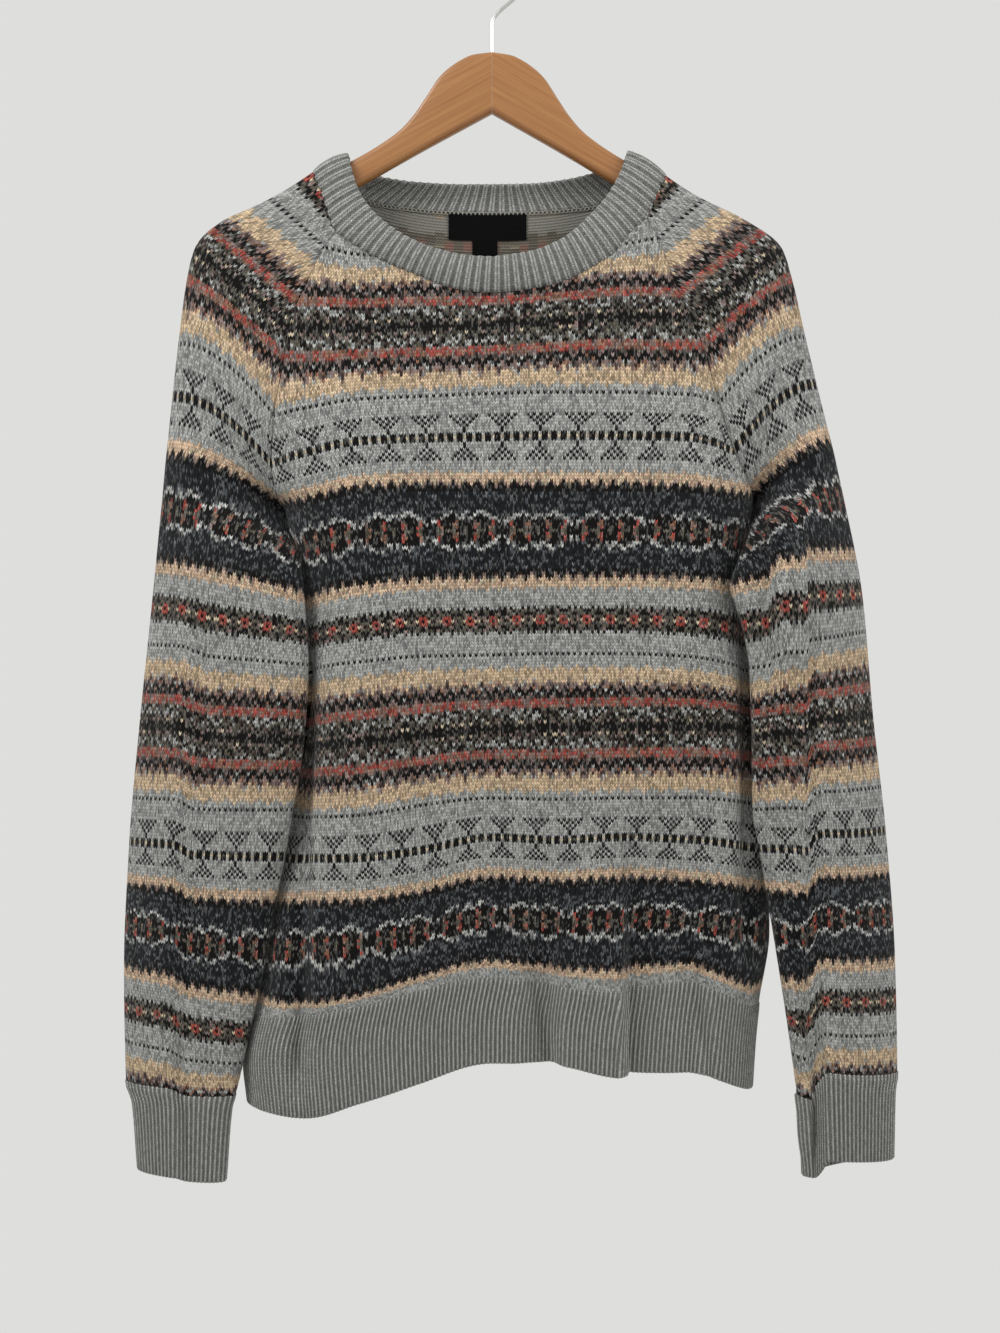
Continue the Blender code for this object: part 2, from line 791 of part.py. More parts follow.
def neckband(rib):
    """The ribbed band round the neck."""
    grid = neckband_grid(NECK_COLUMNS)
    wall("neckband", grid, rib, BAND_WALL, 1, NECK_RIB_PITCH, True, True)


def inside_back(x, below_seam, stand_off):
    """A point that stands off the inside of the back panel, a distance below the neck seam."""
    row_mm = (read(BACK_MIDDLE, "z", -64) - read(BACK_MIDDLE, "z", -47)) / 17
    course = neck_course("back", 0.5) + below_seam / row_mm
    row = panel_row("back", course)
    k = np.searchsorted(row[:, 0], x)
    t = (x - row[k - 1, 0]) / (row[k, 0] - row[k - 1, 0])
    point = row[k - 1] * (1 - t) + row[k] * t
    return point - np.array([0, stand_off, 0])


def labels(woven):
    """The woven label and the small size tab inside the back neck."""
    for name, spec in (("neck_label", LABEL), ("size_tab", TAB)):
        across = np.linspace(*spec["x"], 5)
        down = np.linspace(*spec["below_seam"], 4)
        stand_off = WALL + 0.35 + spec["thick"]
        grid = np.array([[inside_back(x, d, stand_off) for x in across] for d in down[::-1]])
        wall(name, grid, woven, spec["thick"])


def hanger_arm(sign, wood):
    """Half of the hanger: rounded sections along the arm, from the mitre to the tip."""
    body = [8, 17, 26, 33, 40, 47, 57, 70, 88, 105, 125, 145, 165, 183]
    stations = np.array([MITRE_GAP / 2] + body + [195, 202, 205.5])
    corner = np.linspace(0, math.pi / 2, 4)
    sections = []
    for x in stations:
        top, under = (float(smooth(edge["x"], edge["z"], x)) for edge in (WOOD_TOP, WOOD_UNDER))
        shrink = 1 if x < 190 else math.sqrt(max(1 - ((x - 190) / 17) ** 2, 0.05))
        middle, tall = (top + under) / 2, (top - under) / 2 * shrink
        half, radius = WOOD_THICK / 2 * (0.6 + 0.4 * shrink), WOOD_EDGE * (0.6 + 0.4 * shrink)
        outline = []
        for k, (sy, sz) in enumerate(((1, 1), (-1, 1), (-1, -1), (1, -1))):
            for a in corner if k % 2 == 0 else corner[::-1]:
                y = sy * (half - radius + radius * math.cos(a))
                z = sz * (tall - radius + radius * math.sin(a))
                outline.append((sign * x, y, middle + z - sign * x * WOOD_TILT))
        sections.append(outline)
    points = np.array(sections).reshape(-1, 3) * MM
    around = len(sections[0])
    faces = [tuple(range(around)), tuple(range(len(points) - around, len(points)))]
    for i in range(len(stations) - 1):
        for j in range(around):
            a, b = i * around + j, i * around + (j + 1) % around
            faces.append((a, b, b + around, a + around))
    side = "left" if sign < 0 else "right"
    return mesh_object("hanger_arm_" + side, points, faces, wood)


def hook(steel):
    """The wire hook: a stem, a bend to the right and three quarters of a ring."""
    ring = np.radians(np.arange(-38, 206, 15))
    centre = -HOOK_RADIUS + WIRE / 2
    start = np.array([HOOK_RADIUS * math.cos(ring[0]), centre + HOOK_RADIUS * math.sin(ring[0])])
    heading = np.array([-math.sin(ring[0]), math.cos(ring[0])])
    bend = [np.array([0, STEM_BEND]), np.array([0, STEM_BEND + 8]), start - 8 * heading, start]
    route = [np.array([0, float(WOOD_TOP["z"][0]) + 0.3])]
    for t in np.linspace(0, 1, 7)[:-1]:
        weights = ((1 - t) ** 3, 3 * t * (1 - t) ** 2, 3 * t * t * (1 - t), t**3)
        route.append(sum(w * p for w, p in zip(weights, bend)))
    route += [np.array([HOOK_RADIUS * math.cos(a), centre + HOOK_RADIUS * math.sin(a)]) for a in ring]
    curve = bpy.data.curves.new("hook", "CURVE")
    curve.dimensions = "3D"
    curve.bevel_depth = WIRE / 2 * MM
    curve.bevel_resolution = 2
    curve.use_fill_caps = True
    spline = curve.splines.new("POLY")
    spline.points.add(len(route) - 1)
    for point, (x, z) in zip(spline.points, route):
        point.co = (x * MM, 0, z * MM, 1)
    curve.materials.append(steel)
    return place(bpy.data.objects.new("hook", curve))


for old in list(bpy.data.objects):
    bpy.data.objects.remove(old)
COLLECTION = bpy.data.collections.new("fair isle jumper on a wooden hanger")
bpy.context.scene.collection.children.link(COLLECTION)
HANGING_POINT = bpy.data.objects.new("hanging_point", None)
COLLECTION.objects.link(HANGING_POINT)

knit_finish = material("stranded_wool", CHARCOAL, 0.95)
rib_finish = material("heather_grey_rib", GREY, 0.95)
body_panels(knit_finish)
sleeves(material("stranded_wool_sleeve", (0.16, 0.13, 0.11), 0.95))
hem_ribs(rib_finish)
cuffs(rib_finish)
neckband(rib_finish)
labels(material("woven_label", BLACK, 0.7))
maple = material("maple", MAPLE, 0.45)
hanger_arm(-1, maple)
hanger_arm(1, maple)
hook(material("plated_steel", STEEL, 0.2, 1.0))
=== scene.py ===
# %% [markdown]
# # A fair isle jumper on a wooden hanger
#
# The jumper is a crew-neck raglan pullover in machine-knitted stranded wool, hung on a flat maple hanger.
# Plain solids of every piece already stand in the frame. This lesson dresses them: cloth knitted stitch by
# stitch on the solids' own form, raised ribs, seams, labels, lacquered wood and bright wire.

# %% The frame
import math

import bmesh
import bpy
import numpy as np
from mathutils import Matrix


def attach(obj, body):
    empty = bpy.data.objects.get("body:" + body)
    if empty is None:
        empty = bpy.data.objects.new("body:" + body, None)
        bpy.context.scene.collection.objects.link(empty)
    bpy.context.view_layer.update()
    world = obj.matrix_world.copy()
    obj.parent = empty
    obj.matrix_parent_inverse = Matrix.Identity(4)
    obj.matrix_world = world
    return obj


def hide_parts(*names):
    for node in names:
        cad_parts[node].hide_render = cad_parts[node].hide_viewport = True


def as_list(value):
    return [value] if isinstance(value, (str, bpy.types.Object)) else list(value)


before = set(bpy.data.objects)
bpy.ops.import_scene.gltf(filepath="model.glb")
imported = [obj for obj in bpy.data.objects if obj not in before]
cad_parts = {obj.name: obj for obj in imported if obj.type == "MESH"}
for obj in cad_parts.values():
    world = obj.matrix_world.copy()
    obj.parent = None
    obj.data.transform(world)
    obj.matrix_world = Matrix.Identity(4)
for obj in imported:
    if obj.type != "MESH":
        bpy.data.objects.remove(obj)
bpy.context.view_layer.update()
MM = 0.001
print("nodes:", ", ".join(sorted(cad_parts)))

# %% [markdown]
# ## Camera, light and floor
#
# A knitted surface shows its relief only in slanting light, and its yarn colours only in even light. Two
# wide lamps high at the sides give the slant, the left one stronger, and a pale room all round fills the
# shadows.

# %% Camera
scene = bpy.context.scene
scene.view_settings.view_transform = "Standard"


def placed(name, data):
    """A new object in the scene."""
    made = bpy.data.objects.new(name, data)
    scene.collection.objects.link(made)
    return made


eye = bpy.data.cameras.new("camera")
eye.sensor_fit = "VERTICAL"
eye.sensor_height = 36
eye.lens = 45.32
camera = placed("camera", eye)
camera.location = (6 * MM, -1250 * MM, -537.3 * MM)
camera.rotation_euler = (math.pi / 2, 0, 0)
scene.camera = camera
print("camera at", [round(v, 3) for v in camera.location])

# %% Lamps and the room's light


def linear(code):
    """An sRGB hex value as linear red, green, blue and alpha."""
    parts = [int(code[i:i + 2], 16) / 255 for i in (1, 3, 5)]
    return tuple(c / 12.92 if c < 0.04045 else ((c + 0.055) / 1.055) ** 2.4 for c in parts) + (1.0,)


def lamp(name, place, target, size, watts):
    """A square soft lamp that faces a point."""
    data = bpy.data.lights.new(name, "AREA")
    data.size = size
    data.energy = watts
    made = placed(name, data)
    made.location = place
    to = np.array(target, float) - np.array(place, float)
    made.rotation_euler = (math.acos(-to[2] / np.linalg.norm(to)), 0, math.atan2(-to[0], to[1]))


lamp("window", (-1.25, -0.95, 0.75), (0, 0, -0.5), 0.9, 34)
lamp("room", (1.5, -0.8, 0.35), (0, 0, -0.55), 1.1, 20)
scene.world = bpy.data.worlds.new("pale_room")
scene.world.use_nodes = True
sky = scene.world.node_tree.nodes["Background"]
sky.inputs["Color"].default_value = linear("#dededc")
sky.inputs["Strength"].default_value = 1.0
print("lamps:", ", ".join(lit.name for lit in bpy.data.lights))

# %% [markdown]
# Every finish here is a tree of nodes. One function adds a node and wires it up, so a tree reads as a list
# of steps. The floor is matt paint: it takes a soft shadow and gives no reflection.

# %% Nodes, and the floor
FLOOR_RADIUS, FLOOR_Z = 1.3, -1.62


def add(tree, kind, sockets=None, **settings):
    """Adds a node with its settings, and fills its sockets with values or outputs. A node given as a value
    stands for its first output."""
    made = tree.nodes.new(kind)
    for name, value in settings.items():
        setattr(made, name, value)
    for key, value in (sockets or {}).items():
        if isinstance(value, bpy.types.Node):
            value = value.outputs[0]
        if isinstance(value, bpy.types.NodeSocket):
            tree.links.new(value, made.inputs[key])
        else:
            made.inputs[key].default_value = value
    return made


def finish_named(name):
    """A new material and its empty tree."""
    made = bpy.data.materials.new(name)
    made.use_nodes = True
    made.node_tree.nodes.clear()
    return made, made.node_tree


matt, tree = finish_named("matt_floor_paint")
coat = add(tree, "ShaderNodeBsdfPrincipled", {"Base Color": linear("#e2e1de"), "Roughness": 0.9})
add(tree, "ShaderNodeOutputMaterial", {"Surface": coat})
disc = bmesh.new()
bmesh.ops.create_circle(disc, cap_ends=True, segments=64, radius=FLOOR_RADIUS)
mesh = bpy.data.meshes.new("floor")
disc.to_mesh(mesh)
disc.free()
mesh.transform(Matrix.Translation((0, 0, FLOOR_Z)))
mesh.materials.append(matt)
floor = placed("floor", mesh)
print("floor at z", FLOOR_Z)

# %% [markdown]
# ## The form of the garment
#
# A hung jumper could be simulated, but a simulation would lose the proportions of this one. Its form is set
# down in short tables instead. Heights on the cloth are counted in courses, the rows of knitting: 0 is the
# dotted line across the chest, and the count grows downwards. All tables are in millimetres. A depth is how
# far the cloth lies from the hanger's middle plane.

# %% The edges of the body panels
WALL = 2.0              # the stranded knit
BAND_WALL = 2.6         # the neckband, hem and cuffs between their ribs
NECK_GAP = 0.6          # how far the neckband stands off its seam
UNDERARM = 33.0         # the course where the raglan seams end and the side seams start
HEM_TOP, HEM_END = 198.0, 227.0
CUFF_TOP, CUFF_END = 227.0, 256.0
SLEEVE_TOP = -59.0      # where the neckband crosses the shoulder
BACK_NECK = -64.0       # the top of the back raglan seams


def table(columns, *rows):
    """Rows of numbers as named columns."""
    grid = np.array(rows, float)
    return {name: grid[:, i] for i, name in enumerate(columns.split())}


# Where the front ends at each side: along the raglan seam, and from the underarm on along the side seam.
FRONT_EDGE = {
    "left": table(
        "course x depth z",
        (-64, -104, 12, -199), (-52.3, -115, 12, -217), (-47, -122, 13, -226), (-35, -137, 18, -258),
        (-23, -148, 22, -287), (-12, -152, 27, -317), (0, -158, 31, -355), (14, -160, 30, -390),
        (24, -157, 22, -410), (33, -153, 0, -424), (37, -151.5, 0, -435), (39, -151, 0, -440),
        (45, -146, 0, -456), (61, -142.5, 0, -494), (84, -142, 0, -542), (108, -145, 0, -597),
        (144, -157, 0, -678), (175, -169, 0, -746), (198, -178, 0, -792), (212, -184, 0, -826),
        (227, -181, 0, -857),
    ),
    "right": table(
        "course x depth z",
        (-64, 103, 12, -189), (-53.5, 114, 12, -207), (-47, 122, 13, -219), (-35, 133, 18, -252),
        (-23, 145, 22, -280), (-12, 155, 27, -308), (0, 165, 31, -346), (14, 176, 30, -380),
        (24, 187, 22, -402), (33, 194, 0, -418), (37, 193.5, 0, -428), (39, 192.5, 0, -433),
        (45, 189.5, 0, -448), (61, 191, 0, -484), (84, 198, 0, -540), (108, 201, 0, -586),
        (144, 205, 0, -671), (175, 206, 0, -734), (198, 198, 0, -787), (212, 195, 0, -816),
        (227, 193, 0, -847),
    ),
}
# Where the back ends above the underarm. Below it the back ends where the front does.
BACK_RAGLAN = {
    "left": table(
        "course x depth z",
        (-68, -104, 16, -176), (-64, -106, 16, -184), (-47, -122, 18, -224), (-35, -136, 20, -256),
        (-23, -146, 22, -286), (-12, -151, 25, -317), (0, -157, 27, -353), (14, -160, 26, -388),
        (24, -157, 19, -409), (33, -153, 0, -424),
    ),
    "right": table(
        "course x depth z",
        (-68, 102, 16, -178), (-64, 104, 16, -186), (-47, 121, 18, -220), (-35, 133, 20, -252),
        (-23, 145, 22, -281), (-12, 155, 25, -309), (0, 165, 27, -345), (14, 176, 26, -379),
        (24, 187, 19, -401), (33, 194, 0, -418),
    ),
}
print("underarm at x", FRONT_EDGE["left"]["x"][9], "and", FRONT_EDGE["right"]["x"][9])

# %% [markdown]
# The middle of each panel stands out from the hanger's plane, and its courses sag between the shoulders.
# Long upright folds start below the chest, where the cloth hangs free.

# %% The middles of the body panels and their folds
# How far the middle of a panel stands out, and how wide the round corners beside it are.
FRONT_PLATEAU = table(
    "course depth corner",
    (-64, 13, 30), (-47, 15, 30), (-35, 21, 30), (-23, 26, 30), (0, 38, 34), (14, 43, 40), (33, 48, 46),
    (61, 50, 46), (198, 51, 46), (227, 50, 46),
)
BACK_PLATEAU = table(
    "course depth corner",
    (-68, 23, 40), (-47, 24, 36), (-23, 26, 30), (0, 31, 34), (33, 37, 44), (84, 40, 46), (227, 41, 46),
)
# The heights of the front's courses, at nine places across.
FRONT_STATIONS = np.array([-175, -135, -95, -50, 0, 45, 90, 140, 190], float)
FRONT_ROWS = table(
    "course x-175 x-135 x-95 x-50 x0 x45 x90 x140 x190",
    (-64, -185, -188, -194, -192, -192, -191, -187, -180, -174),
    (-54, -208, -211, -216, -215, -214, -213, -210, -202, -197),
    (-47, -223, -226, -232, -230, -230, -229, -225, -218, -212),
    (-23, -286, -288, -288, -287, -286, -283, -280, -280, -278),
    (0, -365, -351, -344, -342, -340, -339, -339, -341, -363),
    (14, -403, -384, -375, -373, -372, -371, -371, -372, -389),
    (28, -432, -416, -406, -404, -404, -404, -404, -405, -415),
    (45, -461, -453, -445, -443, -442, -442, -442, -443, -448),
    (61, -498, -490, -483, -479, -478, -477, -477, -478, -480),
    (84, -543, -538, -534, -530, -529, -528, -528, -530, -539),
    (108, -598, -595, -591, -586, -582, -581, -580, -580, -582),
    (130, -648, -645, -643, -636, -631, -632, -631, -631, -635),
    (144, -678, -674, -673, -668, -659, -661, -659, -661, -667),
    (175, -746, -740, -736, -728, -718, -722, -720, -722, -730),
    (189, -780, -777, -770, -757, -747, -752, -753, -751, -771),
    (198, -791, -787, -779, -768, -760, -766, -769, -765, -783),
    (227, -854, -858, -847, -833, -820, -821, -829, -829, -843),
)
# The heights of the back's courses, at their middle.
BACK_MIDDLE = table(
    "course z",
    (-68, -194.5), (-64, -203), (-47, -240), (-23, -291), (0, -341), (33, -414), (84, -528), (144, -660),
    (198, -766), (227, -828),
)
# Upright folds: the courses where one starts and where it is full, its x at both, its width, and how much
# further the cloth stands out on its right than on its left.
FRONT_FOLDS = table(
    "start full x_top x_end width rise",
    (60, 198, -70, -48, 60, -9), (120, 200, 24, 26, 26, -8), (130, 200, 50, 47, 14, 11),
    (120, 190, 96, 94, 9, -12), (140, 210, 128, 150, 20, 8), (40, 110, -118, -125, 30, 5),
    (45, 120, 150, 140, 34, -4),
)
BACK_FOLDS = table(
    "start full x_top x_end width rise",
    (70, 200, -110, -104, 34, 7), (90, 200, -40, -34, 22, -9), (110, 200, 20, 12, 16, 9),
    (60, 190, 84, 96, 30, -7), (130, 200, 140, 146, 14, 6),
)
# The course where the neckband takes the front, by shares of the way across.
FRONT_NECK = table(
    "share course",
    (0, -52.3), (0.10, -48), (0.27, -39.7), (0.42, -33.7), (0.507, -32.6), (0.65, -33.9), (0.84, -42.2),
    (0.93, -49.8), (1, -53.5),
)
print("folds:", len(FRONT_FOLDS["rise"]), "in front,", len(BACK_FOLDS["rise"]), "behind")

# %% [markdown]
# The sleeves hang from the shoulders. Each course of a sleeve runs from the raglan seam, or from the inner
# edge below the underarm, out to a ridge and back behind.

# %% The sleeves
# The outer edge of each sleeve, where it turns from front to back. Where hang is over 1, its courses fall
# early on their way there.
RIDGE = {
    "left": table(
        "course x y z hang",
        (-64, -122, 0, -162, 1.0), (-59, -132, 0, -169, 1.0), (-53.5, -146, 0, -178.5, 1.0),
        (-47, -162, 0, -188, 1.0), (-41.5, -182, 0, -198, 1.0), (-35, -200, 0, -206.5, 1.0),
        (-23, -220, 0, -225, 1.0), (-14, -227, 0, -251, 1.2), (0, -233, -2, -299, 1.8),
        (14, -237, -4, -338, 1.8), (45, -245, -8, -425, 1.5), (73, -251, -12, -494, 1.2),
        (108, -259, -16, -580, 1.2), (144, -266, -18, -665, 1.2), (191, -269.5, -20, -760, 1.2),
        (227, -268, -20, -840, 1.0), (233, -263, -20, -855, 1.0), (256, -259, -20, -904, 1.0),
    ),
    "right": table(
        "course x y z hang",
        (-64, 118, 0, -164, 1.0), (-59, 128, 0, -171.5, 1.0), (-53.5, 140, 0, -180, 1.0),
        (-47, 155, 0, -189, 1.0), (-41.5, 173, 0, -198, 1.0), (-35, 190, 0, -207, 1.0),
        (-23, 215, 0, -226, 1.0), (-14, 223, 0, -249, 1.2), (0, 233, -2, -294, 1.8),
        (14, 241, -4, -329, 1.8), (45, 261, -8, -417, 1.5), (73, 273, -12, -484, 1.2),
        (108, 280, -16, -572, 1.2), (144, 289, -18, -657, 1.2), (191, 295.5, -20, -754, 1.2),
        (227, 297, -20, -834, 1.0), (233, 295, -20, -848, 1.0), (256, 294, -20, -896, 1.0),
    ),
}
# How far the two faces of a closed sleeve round out.
BELLY = table(
    "course front back",
    (33, 24, 22), (84, 22, 21), (144, 20, 19), (227, 16, 15), (256, 13, 12),
)
# The inner edge of each sleeve, from the underarm down.
INNER = {
    "left": table(
        "course x y z",
        (33, -153, 0, -424), (36, -149.6, -8, -432), (39, -149, -22, -441), (45, -140, -34, -455),
        (61, -135, -42, -488), (84, -132, -41, -536), (108, -135, -41, -590), (130, -143, -40, -640),
        (144, -149, -39, -674), (158, -155, -38, -704), (175, -162, -37, -743), (203, -175, -35, -802),
        (227, -186, -33, -848), (233, -189, -33, -858), (256, -193, -33, -909),
    ),
    "right": table(
        "course x y z",
        (33, 194, 0, -418), (36, 190.6, -10, -427), (39, 188.5, -25, -436), (45, 182, -40, -451),
        (54, 174, -49, -468), (59, 170, -53, -479), (66, 174, -53, -493), (73, 179, -50, -508),
        (84, 185, -46, -538), (108, 187, -43, -588), (130, 188, -41, -640), (144, 193, -39, -668),
        (158, 198, -37, -697), (175, 204, -35, -731), (203, 214, -32, -792), (227, 222, -30, -846),
        (233, 224, -30, -858), (256, 226, -30, -906),
    ),
}
# Folds down the front of a sleeve: where one lies between the seam and the ridge, how far the cloth beyond
# it stands out, and how far its courses jump there.
SLEEVE_FOLDS = {
    "left": [
        table(
            "course place rise drop",
            (60, 0.68, 0, 0), (90, 0.67, 6, 7), (180, 0.58, 8, 8), (227, 0.50, 8, 6.5), (256, 0.46, 5, 3),
        ),
    ],
    "right": [
        table(
            "course place rise drop",
            (30, 0.10, 0, 0), (45, 0.18, 8, 6), (59, 0.31, 10, 9), (73, 0.22, 9, 8), (95, 0.18, 0, 0),
        ),
        table(
            "course place rise drop",
            (60, 0.50, 0, 0), (100, 0.46, 5, 3), (130, 0.43, 8, 7), (169, 0.33, 11, 10),
            (200, 0.22, 12, 14), (227, 0.19, 12, 18), (256, 0.17, 10, 16),
        ),
    ],
}
print("sleeve ends at z", RIDGE["left"]["z"][-1])

# %% [markdown]
# The curves through these tables never overshoot their points, so a fold stays where it is set down.

# %% Curves through the tables


def smooth(xs, ys, at):
    """A curve through the points that never overshoots them."""
    step = np.diff(xs)
    slope = np.diff(ys) / step
    bend = np.zeros(len(xs))
    same = slope[:-1] * slope[1:] > 0
    bend[1:-1][same] = 2 / (1 / slope[:-1][same] + 1 / slope[1:][same])
    bend[0], bend[-1] = slope[0], slope[-1]
    at = np.clip(at, xs[0], xs[-1])
    i = np.clip(np.searchsorted(xs, at, side="right") - 1, 0, len(step) - 1)
    t = (at - xs[i]) / step[i]
    start = (1 + 2 * t) * (1 - t) ** 2 * ys[i] + t * (1 - t) ** 2 * step[i] * bend[i]
    end = t * t * (3 - 2 * t) * ys[i + 1] + t * t * (t - 1) * step[i] * bend[i + 1]
    return start + end


def read(source, column, at):
    """A table's column at a course."""
    return float(smooth(source["course"], source[column], at))


def ease(t):
    """0 to 1 with soft ends."""
    t = np.clip(t, 0, 1)
    return t * t * (3 - 2 * t)


def distances(points):
    """How far along a polyline each of its points lies."""
    return np.concatenate([[0], np.cumsum(np.linalg.norm(np.diff(points, axis=0), axis=1))])


def at_distances(points, run, where):
    """Points at distances along a polyline."""
    return np.stack([np.interp(where, run, points[:, k]) for k in range(3)], 1)


def along(points, shares):
    """Points at shares of the length of a polyline."""
    run = distances(points)
    return at_distances(points, run, np.asarray(shares) * run[-1])


print("the left shoulder is at z", read(RIDGE["left"], "z", SLEEVE_TOP))

# %% [markdown]
# A course of a body panel runs from one edge round a corner to the level middle, where the folds are laid
# on, and round a corner to the other edge. The front's heights come from a table, because its courses sag
# unevenly. The back's are a plain curve.

# %% A course of a body panel
CORNER_POINTS, LEVEL_POINTS = 30, 180
EDGE_REACH = 40.0       # how far in from its edges a course bends to meet its neighbour
BACK_SAG = 2.5          # the power of the curve that the back's courses sag in
BACK_RISE = 4           # how many courses higher the back neck is in its middle


def panel_edge(face, side, course):
    """x, depth and z of a body panel's edge."""
    raglan_at_back = face == "back" and course <= UNDERARM
    source = BACK_RAGLAN[side] if raglan_at_back else FRONT_EDGE[side]
    return [read(source, name, course) for name in ("x", "depth", "z")]


def panel_row(face, course):
    """One course of a body panel, from its left edge to its right, as a polyline."""
    plateau, folds = (FRONT_PLATEAU, FRONT_FOLDS) if face == "front" else (BACK_PLATEAU, BACK_FOLDS)
    x0, depth0, z0 = panel_edge(face, "left", course)
    x1, depth1, z1 = panel_edge(face, "right", course)
    deep, corner = read(plateau, "depth", course), read(plateau, "corner", course)
    turn = np.linspace(0, math.pi / 2, CORNER_POINTS)
    level = np.linspace(x0 + corner, x1 - corner, LEVEL_POINTS)[1:-1]
    x = np.concatenate([x0 + corner * (1 - np.cos(turn)), level, x1 - corner * (1 - np.cos(turn[::-1]))])
    out = np.concatenate([np.sin(turn), np.ones(len(level)), np.sin(turn[::-1])])
    floor = depth0 + (depth1 - depth0) * (x - x0) / (x1 - x0)
    depth = floor + (deep - floor) * out
    for start, full, x_top, x_end, width, rise in zip(*folds.values()):
        down = (course - start) / (full - start)
        line = x_top + (x_end - x_top) * min(max(down, 0), 1)
        depth = depth + rise * float(ease(down)) * out * (ease((x - line) / width + 0.5) - 0.5)
    if face == "front":
        heights = [read(FRONT_ROWS, name, course) for name in list(FRONT_ROWS)[1:]]
        z = smooth(FRONT_STATIONS, np.array(heights), x)
    else:
        across = 2 * (x - x0) / (x1 - x0) - 1
        middle = read(BACK_MIDDLE, "z", course)
        edge_z = np.where(across < 0, z0, z1)
        z = middle + (edge_z - middle) * np.abs(across) ** BACK_SAG
    near_left, near_right = (np.clip(1 - np.abs(x - end) / EDGE_REACH, 0, 1) ** 2 for end in (x0, x1))
    z = z + (z0 - z[0]) * near_left + (z1 - z[-1]) * near_right
    return np.stack([x, -depth if face == "front" else depth, z], 1)


def neck_course(face, share):
    """The course at which the neckband takes a body panel, at a share of the way across."""
    if face == "front":
        return float(smooth(FRONT_NECK["share"], FRONT_NECK["course"], share))
    return BACK_NECK - BACK_RISE * (1 - abs(2 * share - 1) ** 3)


print("the chest course is", round(distances(panel_row("front", 0))[-1]), "mm across")

# %% [markdown]
# A sleeve hangs open at the shoulder, where it lies over the hanger, and closes to a flat tube below the
# underarm. So each of its courses is mixed from an open half and a closed one.

# %% A course of a sleeve
SLEEVE_POINTS = 60
CLOSE_FROM, CLOSE_OVER = 20, 30         # the course where the open sleeve starts to close, and over how many
ROUND_FROM, ROUND_OVER = -40, 40        # the same for the change of its round section
ROUND_POWER, ROUND_MORE = 0.5, 0.35
FOLD_SHARE = 0.14       # how much of a half course a fold of the sleeve takes
CAP_DEPTH = 30.0        # how far the raglan seams stand from the hanger's plane above the underarm
CAP_FULLNESS = 0.8      # how much of that depth the middle of the sleeve keeps down to the underarm
CAP_IN, CAP_OUT = (10, 14), (26, 24)    # where that fullness starts and ends, and over how many courses


def sleeve_row(side, course):
    """One course of a sleeve as two polylines: front edge to ridge, and back edge to ridge."""
    ridge = np.array([read(RIDGE[side], name, course) for name in "xyz"])
    hang = read(RIDGE[side], "hang", course)
    closed = float(ease((course - CLOSE_FROM) / CLOSE_OVER))
    narrow = ROUND_POWER + ROUND_MORE * float(ease((course - ROUND_FROM) / ROUND_OVER))
    come, gone = (ease((course - start) / over) for start, over in (CAP_IN, CAP_OUT))
    kept = float(come * (1 - gone))
    s = np.linspace(0, 1, SLEEVE_POINTS)
    bulge = np.sin(s * math.pi)
    half = (1 - np.cos(s * math.pi)) / 2
    t = (1 - closed) * np.sin(s * math.pi / 2) + closed * half
    rows = []
    for face, sign in (("front", -1), ("back", 1)):
        if course <= UNDERARM:
            x, depth, z = panel_edge(face, side, course)
            start = np.array([x, sign * depth, z])
        else:
            start = np.array([read(INNER[side], name, course) for name in "xyz"])
        x = start[0] + (ridge[0] - start[0]) * t
        y_open = ridge[1] + (start[1] - ridge[1]) * np.maximum(np.cos(s * math.pi / 2), 0) ** narrow
        y_closed = start[1] + (ridge[1] - start[1]) * half + sign * read(BELLY, face, course) * bulge
        y = (1 - closed) * y_open + closed * y_closed
        y = y + sign * CAP_FULLNESS * max(CAP_DEPTH - abs(start[1]), 0) * kept * bulge
        z = start[2] + (ridge[2] - start[2]) * (1 - (1 - t) ** hang)
        for fold in SLEEVE_FOLDS[side] if face == "front" else ():
            place, rise, drop = (read(fold, name, course) for name in ("place", "rise", "drop"))
            inside = fold["course"][0] <= course <= fold["course"][-1]
            ends = np.sin(np.minimum(s, 1 - s) * math.pi) ** 0.3
            step = (ease((t - place) / FOLD_SHARE + 0.5) - t) * ends
            y = y - inside * rise * step
            z = z + inside * drop * step
        rows.append(np.stack([x, y, z], 1))
    return rows


def sleeve_top_course(side, turn):
    """The course at which the neckband takes the sleeve. turn runs from 0 at the front edge to 1 behind."""
    front_top = neck_course("front", 0 if side == "left" else 1)
    turns = np.array([0, 0.25, 0.5, 0.75, 1])
    courses = np.array([front_top, -57, SLEEVE_TOP, -61.5, BACK_NECK])
    return float(smooth(turns, courses, turn))


upper_arm = sleeve_row("left", 84)[0]
print("the upper arm is", round(distances(upper_arm)[-1]), "mm round its front half")

# %% [markdown]
# ## The yarns and the chart
#
# Stranded colour work uses two yarns in a row. Its patterns are small repeats of a few stitches, passed on
# from knitter to knitter, so they are charted here by letter, one letter a stitch. A marled yarn has plies
# of two colours or more, so each of its stitches takes one of them.

